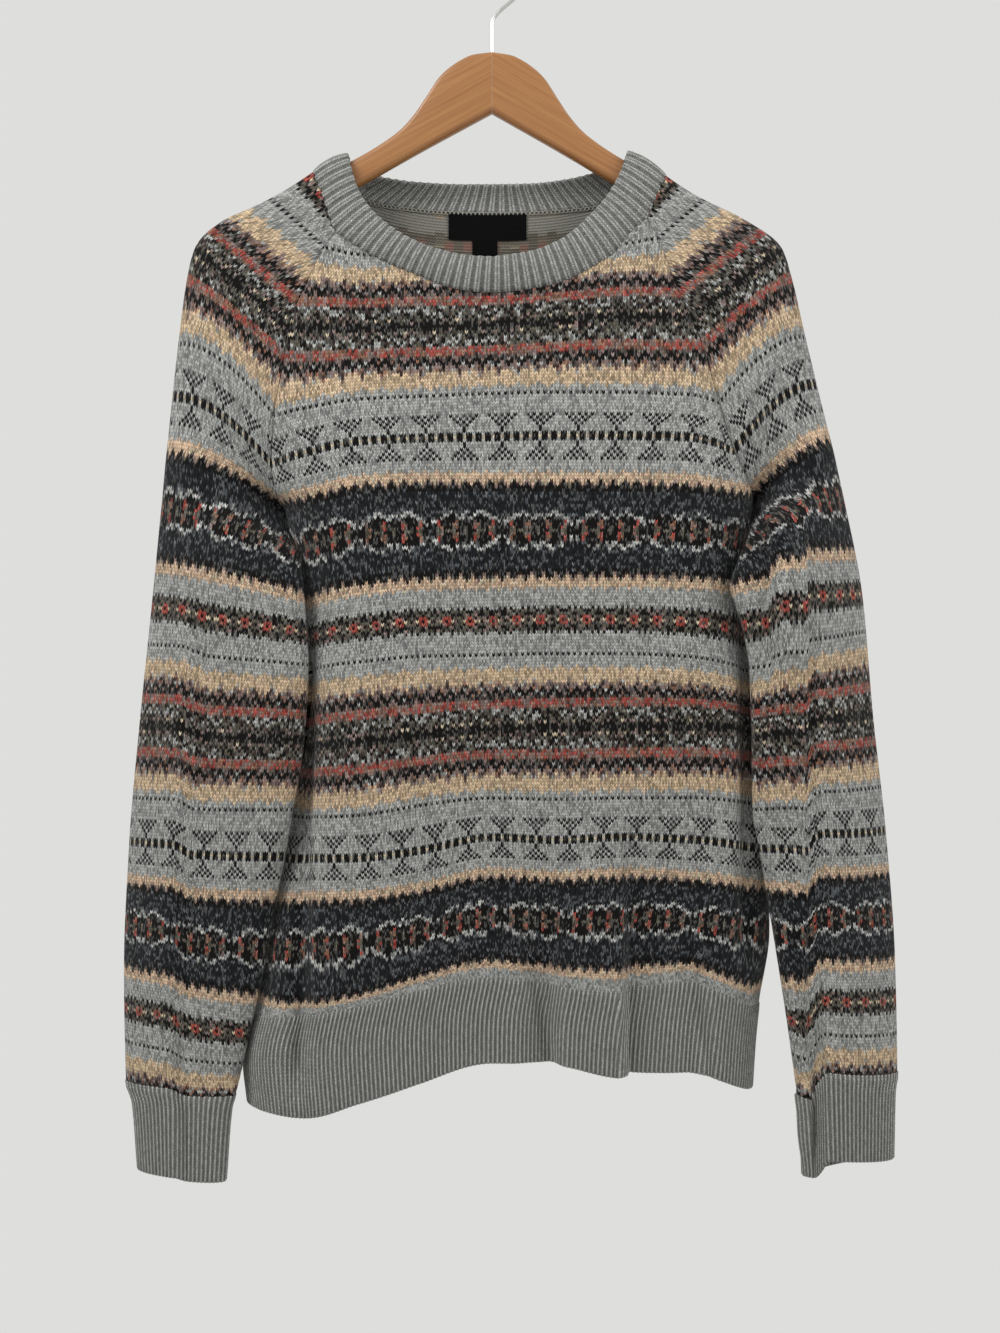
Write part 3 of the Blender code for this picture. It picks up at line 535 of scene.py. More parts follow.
# %% The yarns
YARNS = {
    "g": "#8a8b88",     # heather grey
    "w": "#a3a29e",     # pale grey
    "c": "#ad947c",     # peach
    "y": "#ab967a",     # straw
    "b": "#a69981",     # beige
    "n": "#15171a",     # charcoal
    "s": "#44484c",     # slate
    "k": "#0b0908",     # black-brown
    "r": "#873d35",     # brick
    "t": "#765545",     # rust
    "p": "#352926",     # plum brown
    "m": "#6f5e59",     # mauve
    "o": "#4f4b42",     # olive
}
MARLS = {
    "N": "nnnnns", "C": "ccccbc", "Y": "yyyycy", "Z": "ycmygy", "M": "mmpmmt", "P": "mpompk", "R": "rtmrtr",
    "O": "omooko", "G": "gwkgsg", "F": "ogokpg", "B": "bmompo", "L": "mmgmtm",
}
print(len(YARNS), "yarns")

# %% [markdown]
# Each row of the chart is one course and repeats sideways from wale 0, the upright column of stitches under
# the middle of the chin. The whole repeat is 130 courses tall. A motif that is the same both ways is
# charted from its middle stitch outwards.

# %% The chart
REPEAT = 130
PLAIN = ["g"]
CHARCOAL = ["N"]
DOTS = ["gk"]
HOURGLASS = ["kgkgkgg", "gkgkggg", "kgkgggg", "gkggggg", "kgggggg", "kgggggg"]
WAIST = ["gkk", "bkk", "gkk"]
FRINGE = ["gggC", "C", "C", "PCCC", "kPCP", "kkPk", "Nkkk"]
MEDALLION = [
    "GNNNGGGNNNNNN",
    "GGNGGkGGGNNNN",
    "kGGkkkkkGGGNk",
    "kkkRkkkkkRGGk",
    "kkkRtkkkkRkGk",
    "okkRokkkRokkk",
    "okkkoookookkN",
]
PEERIE = ["ggkgk", "OkOOk", "kOOkk", "rRkOo", "krbBk"]
DRIPS = ["Yggg", "YYYg", "YYYY", "YYYY", "YYYZ", "ZYZM", "MZMp"]
ZIGZAG = ["kLLL", "kkLk", "Lkkk", "PPkP", "RRRMRRMM", "RRRRRMRR", "MRMMRRMR"]
FLORETS = ["FFkFFFk", "FFFkFFF", "kFFFkFF", "OkOFOkO", "kBkOBBk", "kkkOkkO"]


def mirrored(rows):
    """Rows from their middle stitch outwards, made whole without doubling either end."""
    return [row + row[-2:0:-1] for row in rows]


def there_and_back(rows):
    """Rows down to the last one and up again."""
    return rows + rows[-2::-1]


BANDS = (                # the course where each band starts, its rows, and the wale of their first stitch
    (0, DOTS, 0),
    (7, mirrored(HOURGLASS) + WAIST + mirrored(HOURGLASS)[::-1], 0),
    (25, FRINGE + CHARCOAL * 6, 0),
    (38, mirrored(there_and_back(MEDALLION)), 12),
    (51, CHARCOAL * 6 + FRINGE[::-1], 0),
    (69, mirrored(there_and_back(PEERIE)), 5),
    (84, DOTS, 0),
    (88, there_and_back(mirrored(DRIPS) + ZIGZAG + mirrored(FLORETS) + ["k"]), 2),
)
CHART = PLAIN * REPEAT
for top, rows, middle in BANDS:
    for i, row in enumerate(rows):
        cut = -middle % len(row)
        CHART[(top + i) % REPEAT] = row[cut:] + row[:cut]
print("chart:", len(CHART), "courses, longest repeat", max(len(row) for row in CHART), "stitches")

# %% [markdown]
# The marled yarns are dealt out by a seeded random number for each stitch, so every run gives the same
# cloth.

# %% The colour of a stitch
PALETTE = np.array([linear(code) for code in YARNS.values()])
YARN_AT = {letter: i for i, letter in enumerate(YARNS)}
DEALT = (400, 512)      # courses and wales before the dealing of the marled yarns repeats
DEAL = 60               # divides by the plies of every marled yarn


def yarn_of(course, wale, seed):
    """Which yarn each stitch is knitted in, for arrays of whole courses and wales."""
    course, wale = np.asarray(course, int), np.asarray(wale, int)
    deal = np.random.default_rng(seed).integers(0, DEAL, DEALT)
    pick = deal[course % DEALT[0], wale % DEALT[1]]
    found = np.zeros(course.shape, int)
    for row in np.unique(course):
        letters = CHART[int(row) % REPEAT]
        here = course == row
        column = wale[here] % len(letters)
        options = [[YARN_AT[a] for a in MARLS.get(letter, letter)] for letter in letters]
        found[here] = [options[c][p % len(options[c])] for c, p in zip(column, pick[here])]
    return found


print("course 44 starts", [list(YARNS)[i] for i in yarn_of(np.full(8, 44), np.arange(8), 1)])

# %% [markdown]
# ## Knitting a piece
#
# A real piece of knitting is a grid of loops, so the mesh is one too: one face for each stitch, in rows
# along the courses and columns along the wales. A face carries the colours of its own stitch and of the
# ones above and below, because a stitch is a V whose arms reach into the next course. The edges of a piece
# cut through the grid where the seams run, as a seam does.

# %% The grid of stitches
STITCH_WIDTH = table(
    "course wide",
    (-47, 2.36), (0, 2.36), (14, 2.27), (45, 2.15), (84, 2.07), (130, 2.02), (198, 2),
)


def stitch_width(course):
    """How wide a stitch is at a course: the chest is stretched over the hanger."""
    return read(STITCH_WIDTH, "wide", course)


def course_line(points, middle):
    """A course's points, the distance along it of each, and the distance at which wale 0 crosses it."""
    run = distances(points)
    return points, run, middle(points, run)


def stitch_grid(line_at, courses, limit):
    """Corner points of the stitches: places with their distance from the seams, wales and courses, one row
    for each boundary between courses. limit is the seam that ends the piece at the top."""
    top_wale, top_course, top_point = limit
    lines = [line_at(c) for c in courses]
    width = [stitch_width(c) for c in courses]
    reach = max(max(line[2], line[1][-1] - line[2]) / w for line, w in zip(lines, width))
    edge_wale = np.arange(-math.ceil(reach) - 1, math.ceil(reach) + 2) - 0.5
    place, wales, rows = [], [], []
    for course, (points, run, middle), wide in zip(courses, lines, width):
        where = np.clip(middle + edge_wale * wide, 0, run[-1])
        here = at_distances(points, run, where)
        wale = (where - middle) / wide
        row = np.full(len(wale), float(course))
        above = row < np.interp(wale, top_wale, top_course)
        here[above] = at_distances(top_point, top_wale, edge_wale[above])
        wale[above] = np.clip(edge_wale[above], top_wale[0], top_wale[-1])
        row[above] = np.interp(wale[above], top_wale, top_course)
        place.append(np.column_stack([here, np.minimum(where, run[-1] - where)]))
        wales.append(wale)
        rows.append(row)
    return np.array(place), np.array(wales), np.array(rows), edge_wale


print("a chest stitch is", stitch_width(0), "mm wide")

# %% [markdown]
# Cloth that has hung keeps creases that its cut doesn't have. The main ones are listed one by one, on the
# hidden sides too. A rise is a ridge, or a trough where it is negative. A lap folds over the cloth beside
# it, and its slip is how far the courses jump there. A side of -1 is the cloth that faces the front, and of
# 1 the back.

# %% Creases
CREASES = {
    "front": table(
        "x z x_end z_end bow side rise width lap slip",
        (-141, -505, -139, -850, 1, -1, -9.0, 8.5, 0, 0),
        (186, -480, 184, -760, 2, -1, -6.5, 7.0, 0, 0),
        (-150, -340, -158, -410, 0, -1, -3.0, 6.0, 0, 0),
        (170, -340, 178, -410, 0, -1, -3.0, 6.0, 0, 0),
        (22, -720, 54, -880, 0, -1, -2.6, 4.5, 0, 0),
        (98, -700, 96, -890, 0, -1, 0, 5.0, 2.6, 1.2),
        (138, -720, 168, -890, 0, -1, -3.0, 5.0, 0, 0),
        (-60, -440, -74, -690, 3, -1, 1.6, 14.0, 0, 0),
        (62, -420, 70, -640, -3, -1, -1.5, 12.0, 0, 0),
    ),
    "back": table(
        "x z x_end z_end bow side rise width lap slip",
        (-128, -430, -120, -800, 3, 1, -5.0, 8.0, 0, 0),
        (-66, -520, -50, -860, -3, 1, 3.4, 10.0, 0, 0),
        (12, -400, 20, -760, 2, 1, -3.0, 12.0, 0, 0),
        (84, -560, 92, -890, 0, 1, 0, 6.0, 2.4, 1.5),
        (150, -450, 138, -820, -4, 1, -5.5, 8.0, 0, 0),
    ),
    "left": table(
        "x z x_end z_end bow side rise width lap slip",
        (-182, -300, -168, -400, 2, -1, 3.0, 9.0, 0, 0),
        (-213, -460, -214, -720, 0, -1, 1.4, 3.0, 0.8, 1.2),
        (-240, -556, -186, -604, 0, -1, -1.8, 8.0, 0, 0),
        (-250, -700, -205, -728, 0, -1, -1.6, 9.0, 0, 0),
        (-208, -460, -222, -760, 3, 1, -3.6, 8.0, 0, 0),
        (-236, -600, -200, -628, 0, 1, 1.8, 9.0, 0, 0),
    ),
    "right": table(
        "x z x_end z_end bow side rise width lap slip",
        (219, -395, 233, -905, 3, -1, 0, 6.0, 4.4, 4.5),
        (198, -410, 200, -570, 0, -1, 0, 5.0, -2.4, 3.0),
        (186, -400, 198, -300, 2, -1, 3.0, 9.0, 0, 0),
        (236, -560, 262, -540, 0, -1, -1.5, 8.0, 0, 0),
        (232, -440, 240, -780, -3, 1, -3.6, 8.0, 0, 0),
        (214, -640, 262, -610, 0, 1, 1.8, 9.0, 0, 0),
    ),
}
CREASE_FADE = 35.0                      # how far from its ends a crease reaches its full height
LAP_EDGE, LAP_TAIL = 0.9, 2.5           # a lap rises over so many mm, and sinks back over so many widths
SLIP_EDGE, SLIP_TAIL = 1.2, 1.6         # the same for the jump of its courses


def creased(points, normal, creases):
    """How far the creases shift points of a cloth: out along its normals, and along the crease at a lap."""
    shift = np.zeros_like(points)
    for x, z, x_end, z_end, bow, side, rise, width, lap, slip in zip(*creases.values()):
        length = math.hypot(x_end - x, z_end - z)
        along_x, along_z = (x_end - x) / length, (z_end - z) / length
        from_x, from_z = points[:, 0] - x, points[:, 2] - z
        t = (from_x * along_x + from_z * along_z) / length
        off = from_z * along_x - from_x * along_z - bow * 4 * t * (1 - t)
        fade = np.clip(np.minimum(t, 1 - t) * length / CREASE_FADE, 0, 1)
        strength = fade * fade * (3 - 2 * fade) * (normal[:, 1] * side > 0.1)
        under = off * (1 if lap >= 0 else -1)
        step = abs(lap) * 0.5 * (1 - np.tanh(under / LAP_EDGE))
        step = step * np.exp(np.minimum(under, 0) / (LAP_TAIL * width))
        shift += normal * (strength * (rise * np.exp(-((off / width) ** 2)) + step))[:, None]
        tail = np.exp(-np.abs(off) / (SLIP_TAIL * width))
        shift[:, 2] += strength * slip * np.tanh(off / SLIP_EDGE) * tail
    return shift


print("creases:", sum(len(creases["x"]) for creases in CREASES.values()))

# %% [markdown]
# The grid of stitches becomes faces. Points that the seams have drawn together are merged first, so no face
# is folded to nothing.

# %% From a grid to faces


def merged(place):
    """A grid's distinct points, their distances from the seams, and the number of each place in the grid."""
    flat = place.reshape(-1, 4)
    unique, index = np.unique(np.round(flat[:, :3], 3), axis=0, return_inverse=True)
    kept = np.zeros((len(unique), 4))
    kept[index.ravel()] = flat
    return kept[:, :3], kept[:, 3], index.reshape(place.shape[:2])


def fours(grid):
    """The four corner values of each face, from a grid of values."""
    return np.stack([grid[:-1, :-1], grid[:-1, 1:], grid[1:, 1:], grid[1:, :-1]], 2).reshape(-1, 4)


def stitch_faces(grid, inside_out):
    """Points and seam distances, then each face's corners, their u and v, and its wale and course."""
    place, wales, rows, edge_wale = grid
    points, ends, index = merged(place)
    corner, u, v = fours(index), fours(wales) + 0.5, 0.5 - fours(rows)
    wale = np.broadcast_to((edge_wale[:-1] + 0.5)[None, :], wales[1:, 1:].shape).reshape(-1)
    row = np.round(v.mean(1) * -1 + 0.5)
    differ = sum(corner[:, k] != corner[:, (k + 1) % 4] for k in range(4))
    whole = (differ >= 3) & (corner[:, 0] != corner[:, 2]) & (corner[:, 1] != corner[:, 3])
    corner, u, v = (values[whole][:, ::-1 if inside_out else 1] for values in (corner, u, v))
    return points, ends, corner, u, v, wale[whole].astype(int), row[whole].astype(int)


def point_normals(points, faces):
    """Unit normals at points, from the faces round them."""
    normal = np.zeros_like(points)
    for a, b, c in ((0, 1, 2), (0, 2, 3)):
        one, two = points[faces[:, b]] - points[faces[:, a]], points[faces[:, c]] - points[faces[:, a]]
        side = np.cross(one, two)
        for k in range(4):
            np.add.at(normal, faces[:, k], side)
    return normal / np.maximum(np.linalg.norm(normal, axis=1, keepdims=True), 1e-12)


def rim_of(faces):
    """The edges that only one face has, each with the number of that face."""
    edges = {}
    for f, four in enumerate(faces.tolist()):
        for a, b in zip(four, four[1:] + four[:1]):
            if a != b:
                edges[(a, b)] = f
    return [(a, b, f) for (a, b), f in edges.items() if (b, a) not in edges]


print("a grid of 2 by 3 points has", len(fours(np.zeros((2, 3)))), "faces")

# %% [markdown]
# The cloth is a closed shell two millimetres thick: an outer side, an inner side that shows the backs of
# the stitches, and a rim between them round every edge. Each face keeps the yarns of three stitches. Its
# first map counts wales and courses, for the shader. Its second lays the two sides next to each other, for
# baking.

# %% A closed shell of knitting
SEAM_SWELL, SWELL_AT = 0.3, 2.6     # both cloths stand up a little beside a seam
CREASE_START = 6.0                  # how far from a seam a crease reaches its full height
FLOAT_REACH = 3                     # a yarn carried behind shows over this many wales
BAKE_MARGIN = 0.004
BAKE_OUTER = 0.70                   # the outer side's share of the bake's width


def bake_map(pairs, outer):
    """The second map, from the first. The first corners, those of the outer side, go on the left."""
    low, high = pairs.min(0), pairs.max(0)
    share = (pairs - low) / (high - low)
    right = BAKE_OUTER + 3 * BAKE_MARGIN
    share[:outer, 0] = BAKE_MARGIN + BAKE_OUTER * share[:outer, 0]
    share[outer:, 0] = right + (1 - right - BAKE_MARGIN) * share[outer:, 0]
    share[:, 1] = BAKE_MARGIN + (1 - 2 * BAKE_MARGIN) * share[:, 1]
    return share


def corner_pairs(corners, faces, u, v):
    """The u and v of each corner of each face. A face has lost a corner where two have been merged."""
    pairs = []
    for f, (four, face) in enumerate(zip(corners, faces)):
        at = dict(zip(four, range(4)))
        pairs += [(u[f, at[p]], v[f, at[p]]) for p in face]
    return np.array(pairs)


def mesh_of(name, points, faces, **maps):
    """A mesh from points in millimetres and faces. A map gives a pair for each corner of each face."""
    mesh = bpy.data.meshes.new(name)
    mesh.from_pydata((np.asarray(points) * MM).tolist(), [], faces)
    for layer, pairs in maps.items():
        mesh.uv_layers.new(name=layer).data.foreach_set("uv", np.array(pairs, float).ravel())
    return mesh


def knitted(name, grid, seed, finishes, creases, inside_out=False):
    """A closed shell of knitting from a grid of stitch corners."""
    points, ends, corner, u, v, wale, row = stitch_faces(grid, inside_out)
    normal = point_normals(points, corner)
    t = ends / SWELL_AT
    points = points + normal * (SEAM_SWELL * t * np.exp(1 - t))[:, None]
    points = points + creased(points, normal, creases) * np.clip(ends / CREASE_START, 0, 1)[:, None]
    inner = points - point_normals(points, corner) * WALL
    count, outer = len(points), len(corner)
    start, end, source = np.array(rim_of(corner)).T
    rim = np.stack([end, start, start + count, end + count], 1)
    corners = np.concatenate([corner, corner[:, ::-1] + count, rim]).tolist()
    faces = [tuple(dict.fromkeys(four)) for four in corners]
    u, v = (np.concatenate([values, values[:, ::-1], values[source]]) for values in (u, v))
    pairs = corner_pairs(corners, faces, u, v)
    bake = bake_map(pairs, sum(len(face) for face in faces[:outer]))
    mesh = mesh_of(name, np.concatenate([points, inner]), faces, Stitch=pairs, OFBake=bake)
    wale = np.concatenate([wale, wale // FLOAT_REACH * FLOAT_REACH, wale[source]])
    row = np.concatenate([row, row, row[source]])
    for attribute, step in (("own", 0), ("above", -1), ("below", 1)):
        colours = mesh.attributes.new(attribute, "FLOAT_COLOR", "FACE")
        colours.data.foreach_set("color", PALETTE[yarn_of(row + step, wale, seed)].ravel())
    for finish in finishes:
        mesh.materials.append(finish)
    mesh.polygons.foreach_set("material_index", np.repeat([0, 1], [outer, len(faces) - outer]))
    mesh.shade_smooth()
    print(name, outer, "stitches,", round(sum(p.area for p in mesh.polygons) / 2, 4), "square metres")
    return placed(name, mesh)


print("beside a seam the cloth stands up by", SEAM_SWELL, "mm")

# %% [markdown]
# ## The wool
#
# Woollen yarn is soft and dull, with a halo of loose fibres: high roughness and a little sheen at grazing
# angles. The V of each stitch is drawn by the shader from the wale and course numbers: two slanting arms
# whose lower line is 0.35 of a course below the face at the middle and as much above it at the sides. Each
# arm takes a slightly different tone, as twisted yarn does, and here and there a pale ply comes to the top
# of an arm. Shade is painted into the colour too: darker in the grooves between strands.

# %% What all the wool shares
ARM_SLANT = 0.7         # how far an arm of a stitch rises over its half of the wale, in courses
RELIEF = 0.0006         # how far the middle of a strand stands out


def strand(tree, up, side, low):
    """The height above an arm's lower line, and how far the strand stands out there. side runs from 0, where
    an arm is lowest, to 1, where it is highest, and low is where it starts."""
    line = add(tree, "ShaderNodeMath", {0: side, 1: ARM_SLANT, 2: low}, operation="MULTIPLY_ADD")
    lift = add(tree, "ShaderNodeMath", {0: up, 1: line}, operation="SUBTRACT")
    run = add(tree, "ShaderNodeMath", {0: lift}, operation="FRACT")
    angle = add(tree, "ShaderNodeMath", {0: run, 1: math.pi}, operation="MULTIPLY")
    return lift, add(tree, "ShaderNodeMath", {0: angle}, operation="SINE")


def dealt(tree, wale, arms, course):
    """A number for each arm of a stitch, with so many arms to a wale, and a chance dealt to that number."""
    arm = add(tree, "ShaderNodeMath", {0: wale, 1: arms}, operation="MULTIPLY")
    arm = add(tree, "ShaderNodeMath", {0: arm}, operation="FLOOR")
    number = add(tree, "ShaderNodeCombineXYZ", {0: arm, 1: course})
    return number, add(tree, "ShaderNodeTexWhiteNoise", {0: number}, noise_dimensions="3D")


def woolly(tree, colour, height, strength=0.7, roughness=0.92):
    """Ends a tree as soft wool: dull, with a faint sheen from its loose fibres, and round strands."""
    bump = add(tree, "ShaderNodeBump", {"Height": height, "Strength": strength, "Distance": RELIEF})
    wool = add(tree, "ShaderNodeBsdfPrincipled", {
        "Base Color": colour, "Roughness": roughness, "Normal": bump, "Sheen Weight": 0.05,
        "Sheen Roughness": 0.5, "Specular IOR Level": 0.1,
    })
    add(tree, "ShaderNodeOutputMaterial", {"Surface": wool})


print("strands stand out", RELIEF / MM, "mm")

# %% Knitted wool, right side
PALE_PLY = linear("#b9b9b6")


def stranded_wool():
    """Soft two-ply wool in stocking stitch."""
    finish, tree = finish_named("stranded_lambswool")
    uv = add(tree, "ShaderNodeUVMap", uv_map="Stitch")
    wale, course = add(tree, "ShaderNodeSeparateXYZ", {0: uv}).outputs[:2]
    across = add(tree, "ShaderNodeMath", {0: wale}, operation="FRACT")
    up = add(tree, "ShaderNodeMath", {0: course}, operation="FRACT")
    twice = add(tree, "ShaderNodeMath", {0: across, 1: 2.0, 2: -1.0}, operation="MULTIPLY_ADD")
    side = add(tree, "ShaderNodeMath", {0: twice}, operation="ABSOLUTE")
    lift, thick = strand(tree, up, side, -ARM_SLANT / 2)
    # An arm that passes the face's edge belongs to the stitch above or below, and takes its yarn.
    is_above = add(tree, "ShaderNodeMath", {0: lift, 1: 1.0}, operation="GREATER_THAN")
    is_below = add(tree, "ShaderNodeMath", {0: lift, 1: 0.0}, operation="LESS_THAN")
    own, above, below = (
        add(tree, "ShaderNodeAttribute", attribute_name=name) for name in ("own", "above", "below"))
    mixed = add(tree, "ShaderNodeMix", {0: is_above, 6: own, 7: above}, data_type="RGBA").outputs[2]
    mixed = add(tree, "ShaderNodeMix", {0: is_below, 6: mixed, 7: below}, data_type="RGBA").outputs[2]
    row = add(tree, "ShaderNodeMath", {0: course}, operation="FLOOR")
    row = add(tree, "ShaderNodeMath", {0: row, 1: is_above}, operation="ADD")
    row = add(tree, "ShaderNodeMath", {0: row, 1: is_below}, operation="SUBTRACT")
    number, chance = dealt(tree, wale, 2.0, row)
    # A pale ply on top of about one arm in five.
    other = add(tree, "ShaderNodeVectorMath", {0: number, 1: (7.3, 3.1, 5.7)}, operation="ADD")
    ply = add(tree, "ShaderNodeTexWhiteNoise", {0: other}, noise_dimensions="3D")
    ply = add(tree, "ShaderNodeMath", {0: ply, 1: 0.78}, operation="GREATER_THAN")
    ply = add(tree, "ShaderNodeMath", {0: ply, 1: 0.11}, operation="MULTIPLY")
    mixed = add(tree, "ShaderNodeMix", {0: ply, 6: mixed, 7: PALE_PLY}, data_type="RGBA").outputs[2]
    # Tone: by arm, and by fibres five to a stitch. Then painted shade, darker in the grooves between
    # strands.
    fibre = add(tree, "ShaderNodeTexNoise", {"Vector": uv, "Scale": 5.0, "Detail": 3.0})
    shade = add(tree, "ShaderNodeMath", {0: chance, 1: 1.05, 2: 0.42}, operation="MULTIPLY_ADD")
    soft = add(tree, "ShaderNodeMath", {0: fibre, 1: 0.7, 2: 0.65}, operation="MULTIPLY_ADD")
    shade = add(tree, "ShaderNodeMath", {0: shade, 1: soft}, operation="MULTIPLY")
    inset = add(tree, "ShaderNodeMath", {0: side, 1: math.pi}, operation="MULTIPLY")
    inset = add(tree, "ShaderNodeMath", {0: inset}, operation="SINE")
    height = add(tree, "ShaderNodeMath", {0: thick, 1: inset}, operation="MULTIPLY")
    height = add(tree, "ShaderNodeMath", {0: height, 1: 0.5}, operation="POWER")
    painted_groove_shade = add(tree, "ShaderNodeMath", {0: height, 1: 0.75, 2: 0.42}, operation="MULTIPLY_ADD")
    shade = add(tree, "ShaderNodeMath", {0: shade, 1: painted_groove_shade}, operation="MULTIPLY")
    colour = add(tree, "ShaderNodeVectorMath", {0: mixed, "Scale": shade}, operation="SCALE")
    woolly(tree, colour, height)
    return finish


right_side = stranded_wool()
print("finish:", right_side.name)

# %% [markdown]
# The wrong side shows rows of small purl bumps with the carried yarn lying between them, which greys the
# pattern.

# %% Knitted wool, wrong side
CARRIED = linear("#8b8578")     # the yarns that are carried along behind, all together


def purl_side():
    """The back of stranded knitting."""
    finish, tree = finish_named("stranded_lambswool_wrong_side")
    uv = add(tree, "ShaderNodeUVMap", uv_map="Stitch")
    wale, course = add(tree, "ShaderNodeSeparateXYZ", {0: uv}).outputs[:2]
    across = add(tree, "ShaderNodeMath", {0: wale}, operation="FRACT")
    arc = add(tree, "ShaderNodeMath", {0: across, 1: math.pi}, operation="MULTIPLY")
    arc = add(tree, "ShaderNodeMath", {0: arc}, operation="SINE")
    lift = add(tree, "ShaderNodeMath", {0: arc, 1: 0.35, 2: course}, operation="MULTIPLY_ADD")
    run = add(tree, "ShaderNodeMath", {0: lift}, operation="FRACT")
    wave = add(tree, "ShaderNodeMath", {0: run, 1: math.pi}, operation="MULTIPLY")
    height = add(tree, "ShaderNodeMath", {0: wave}, operation="SINE")
    own, above = (add(tree, "ShaderNodeAttribute", attribute_name=name) for name in ("own", "above"))
    half = add(tree, "ShaderNodeMath", {0: run, 1: 0.5}, operation="GREATER_THAN")
    mixed = add(tree, "ShaderNodeMix", {0: half, 6: own, 7: above}, data_type="RGBA").outputs[2]
    mixed = add(tree, "ShaderNodeMix", {0: 0.5, 6: mixed, 7: CARRIED}, data_type="RGBA").outputs[2]
    fibre = add(tree, "ShaderNodeTexNoise", {"Vector": uv, "Scale": 3.0, "Detail": 3.0})
    shade = add(tree, "ShaderNodeMath", {0: fibre, 1: 0.8, 2: 0.3}, operation="MULTIPLY_ADD")
    # Painted shade: darker between the rows of purl bumps.
    painted_groove_shade = add(tree, "ShaderNodeMath", {0: height, 1: 0.5, 2: 0.65}, operation="MULTIPLY_ADD")
    shade = add(tree, "ShaderNodeMath", {0: shade, 1: painted_groove_shade}, operation="MULTIPLY")
    colour = add(tree, "ShaderNodeVectorMath", {0: mixed, "Scale": shade}, operation="SCALE")
    woolly(tree, colour, height, roughness=0.95)
    return finish


wrong_side = purl_side()
print("finish:", wrong_side.name)

# %% [markdown]
# ## The body panels
#
# The front and the back are two flat pieces with the same courses, sewn at the sides, so the bands of
# colour meet there. Each ends at the neck and along two raglan seams.

# %% Front and back
KNIT = [right_side, wrong_side]
FRONT_MIDDLE = 7.6      # where wale 0 hangs, a little right of the hanger's middle
PANEL_STEPS, SLEEVE_STEPS = 240, 80     # points along the neck seam of each piece


def neck_limit(course_at, line_at, where_at, steps):
    """The neck seam of a piece: wales, courses and points along it."""
    wales, courses, points = [], [], []
    for turn in np.linspace(0, 1, steps):
        course = course_at(turn)
        line, run, middle = line_at(course)
        where = where_at(turn, run, middle)
        wales.append((where - middle) / stitch_width(course))
        courses.append(course)
        points.append(at_distances(line, run, [where])[0])
    return np.array(wales), np.array(courses), np.array(points)


def grid_from(start, line_at, limit):
    """The grid of a piece's stitches, from its lowest course up to its neck seam."""
    courses = np.concatenate([[start], np.arange(start - 0.5, limit[1].min() - 1, -1)])
    return stitch_grid(line_at, courses, limit)


def body_panel(face, seed):
    """A body panel, from the hem rib to the neck."""

    def middle_at(points, run):
        return np.interp(FRONT_MIDDLE, points[:, 0], run)

    def line_at(course):
        return course_line(panel_row(face, course), middle_at)

    def where_at(share, run, middle):
        return share * run[-1]

    limit = neck_limit(lambda share: neck_course(face, share), line_at, where_at, PANEL_STEPS)
    return knitted(face, grid_from(HEM_TOP, line_at, limit), seed, KNIT, CREASES[face], face == "back")


front = body_panel("front", 3)
back = body_panel("back", 4)

# %% [markdown]
# ## The sleeves
#
# Each sleeve is one piece too, sewn to itself along the underarm. Above the underarm it narrows between the
# two raglan seams up to the neck.

# %% Both sleeves


def sleeve_line(side, course):
    """A sleeve's course as one line, from its front edge over the ridge to its back edge."""
    front_half, back_half = sleeve_row(side, course)
    points = np.concatenate([front_half, back_half[::-1][1:]])
    ridge = np.linalg.norm(np.diff(front_half, axis=0), axis=1).sum()
    return course_line(points, lambda p, run: ridge)


def sleeve(side, seed):
    """A sleeve, from the cuff to the neck."""

    def line_at(course):
        return sleeve_line(side, course)

    def where_at(turn, run, ridge):
        return ridge * 2 * turn if turn <= 0.5 else ridge + (run[-1] - ridge) * (2 * turn - 1)

    limit = neck_limit(lambda turn: sleeve_top_course(side, turn), line_at, where_at, SLEEVE_STEPS)
    grid = grid_from(CUFF_TOP, line_at, limit)
    return knitted("sleeve_" + side, grid, seed, KNIT, CREASES[side], side == "left")


sleeve_left = sleeve("left", 5)
sleeve_right = sleeve("right", 6)

# %% [markdown]
# ## The ribs
#
# The neckband, hem and cuffs are ribbed: columns of knit stitches stand up between columns that sink back.
# A rib is one rule repeated, so a Geometry Nodes tree raises it. Each point carries its place across the
# ribs, and the tree lifts it along its normal by a rounded wave.

# %% Raising ribs with nodes


def grow_tree(name, sizes):
    """A tree that takes a mesh, sizes by name and a material, with its input node."""
    tree = bpy.data.node_groups.new(name, "GeometryNodeTree")
    given = [("Geometry", "Geometry"), *((size, "Float") for size in sizes), ("Material", "Material")]
    for socket, kind in given:
        tree.interface.new_socket(socket, in_out="INPUT", socket_type="NodeSocket" + kind)
    tree.interface.new_socket("Geometry", in_out="OUTPUT", socket_type="NodeSocketGeometry")
    return tree, add(tree, "NodeGroupInput")


def grow_end(tree, shape, material):
    """Ends a tree with its shape as one mesh in its material."""
    whole = add(tree, "GeometryNodeRealizeInstances", {0: shape})
    done = add(tree, "GeometryNodeSetMaterial", {0: whole, "Material": material})
    add(tree, "NodeGroupOutput", {0: done})


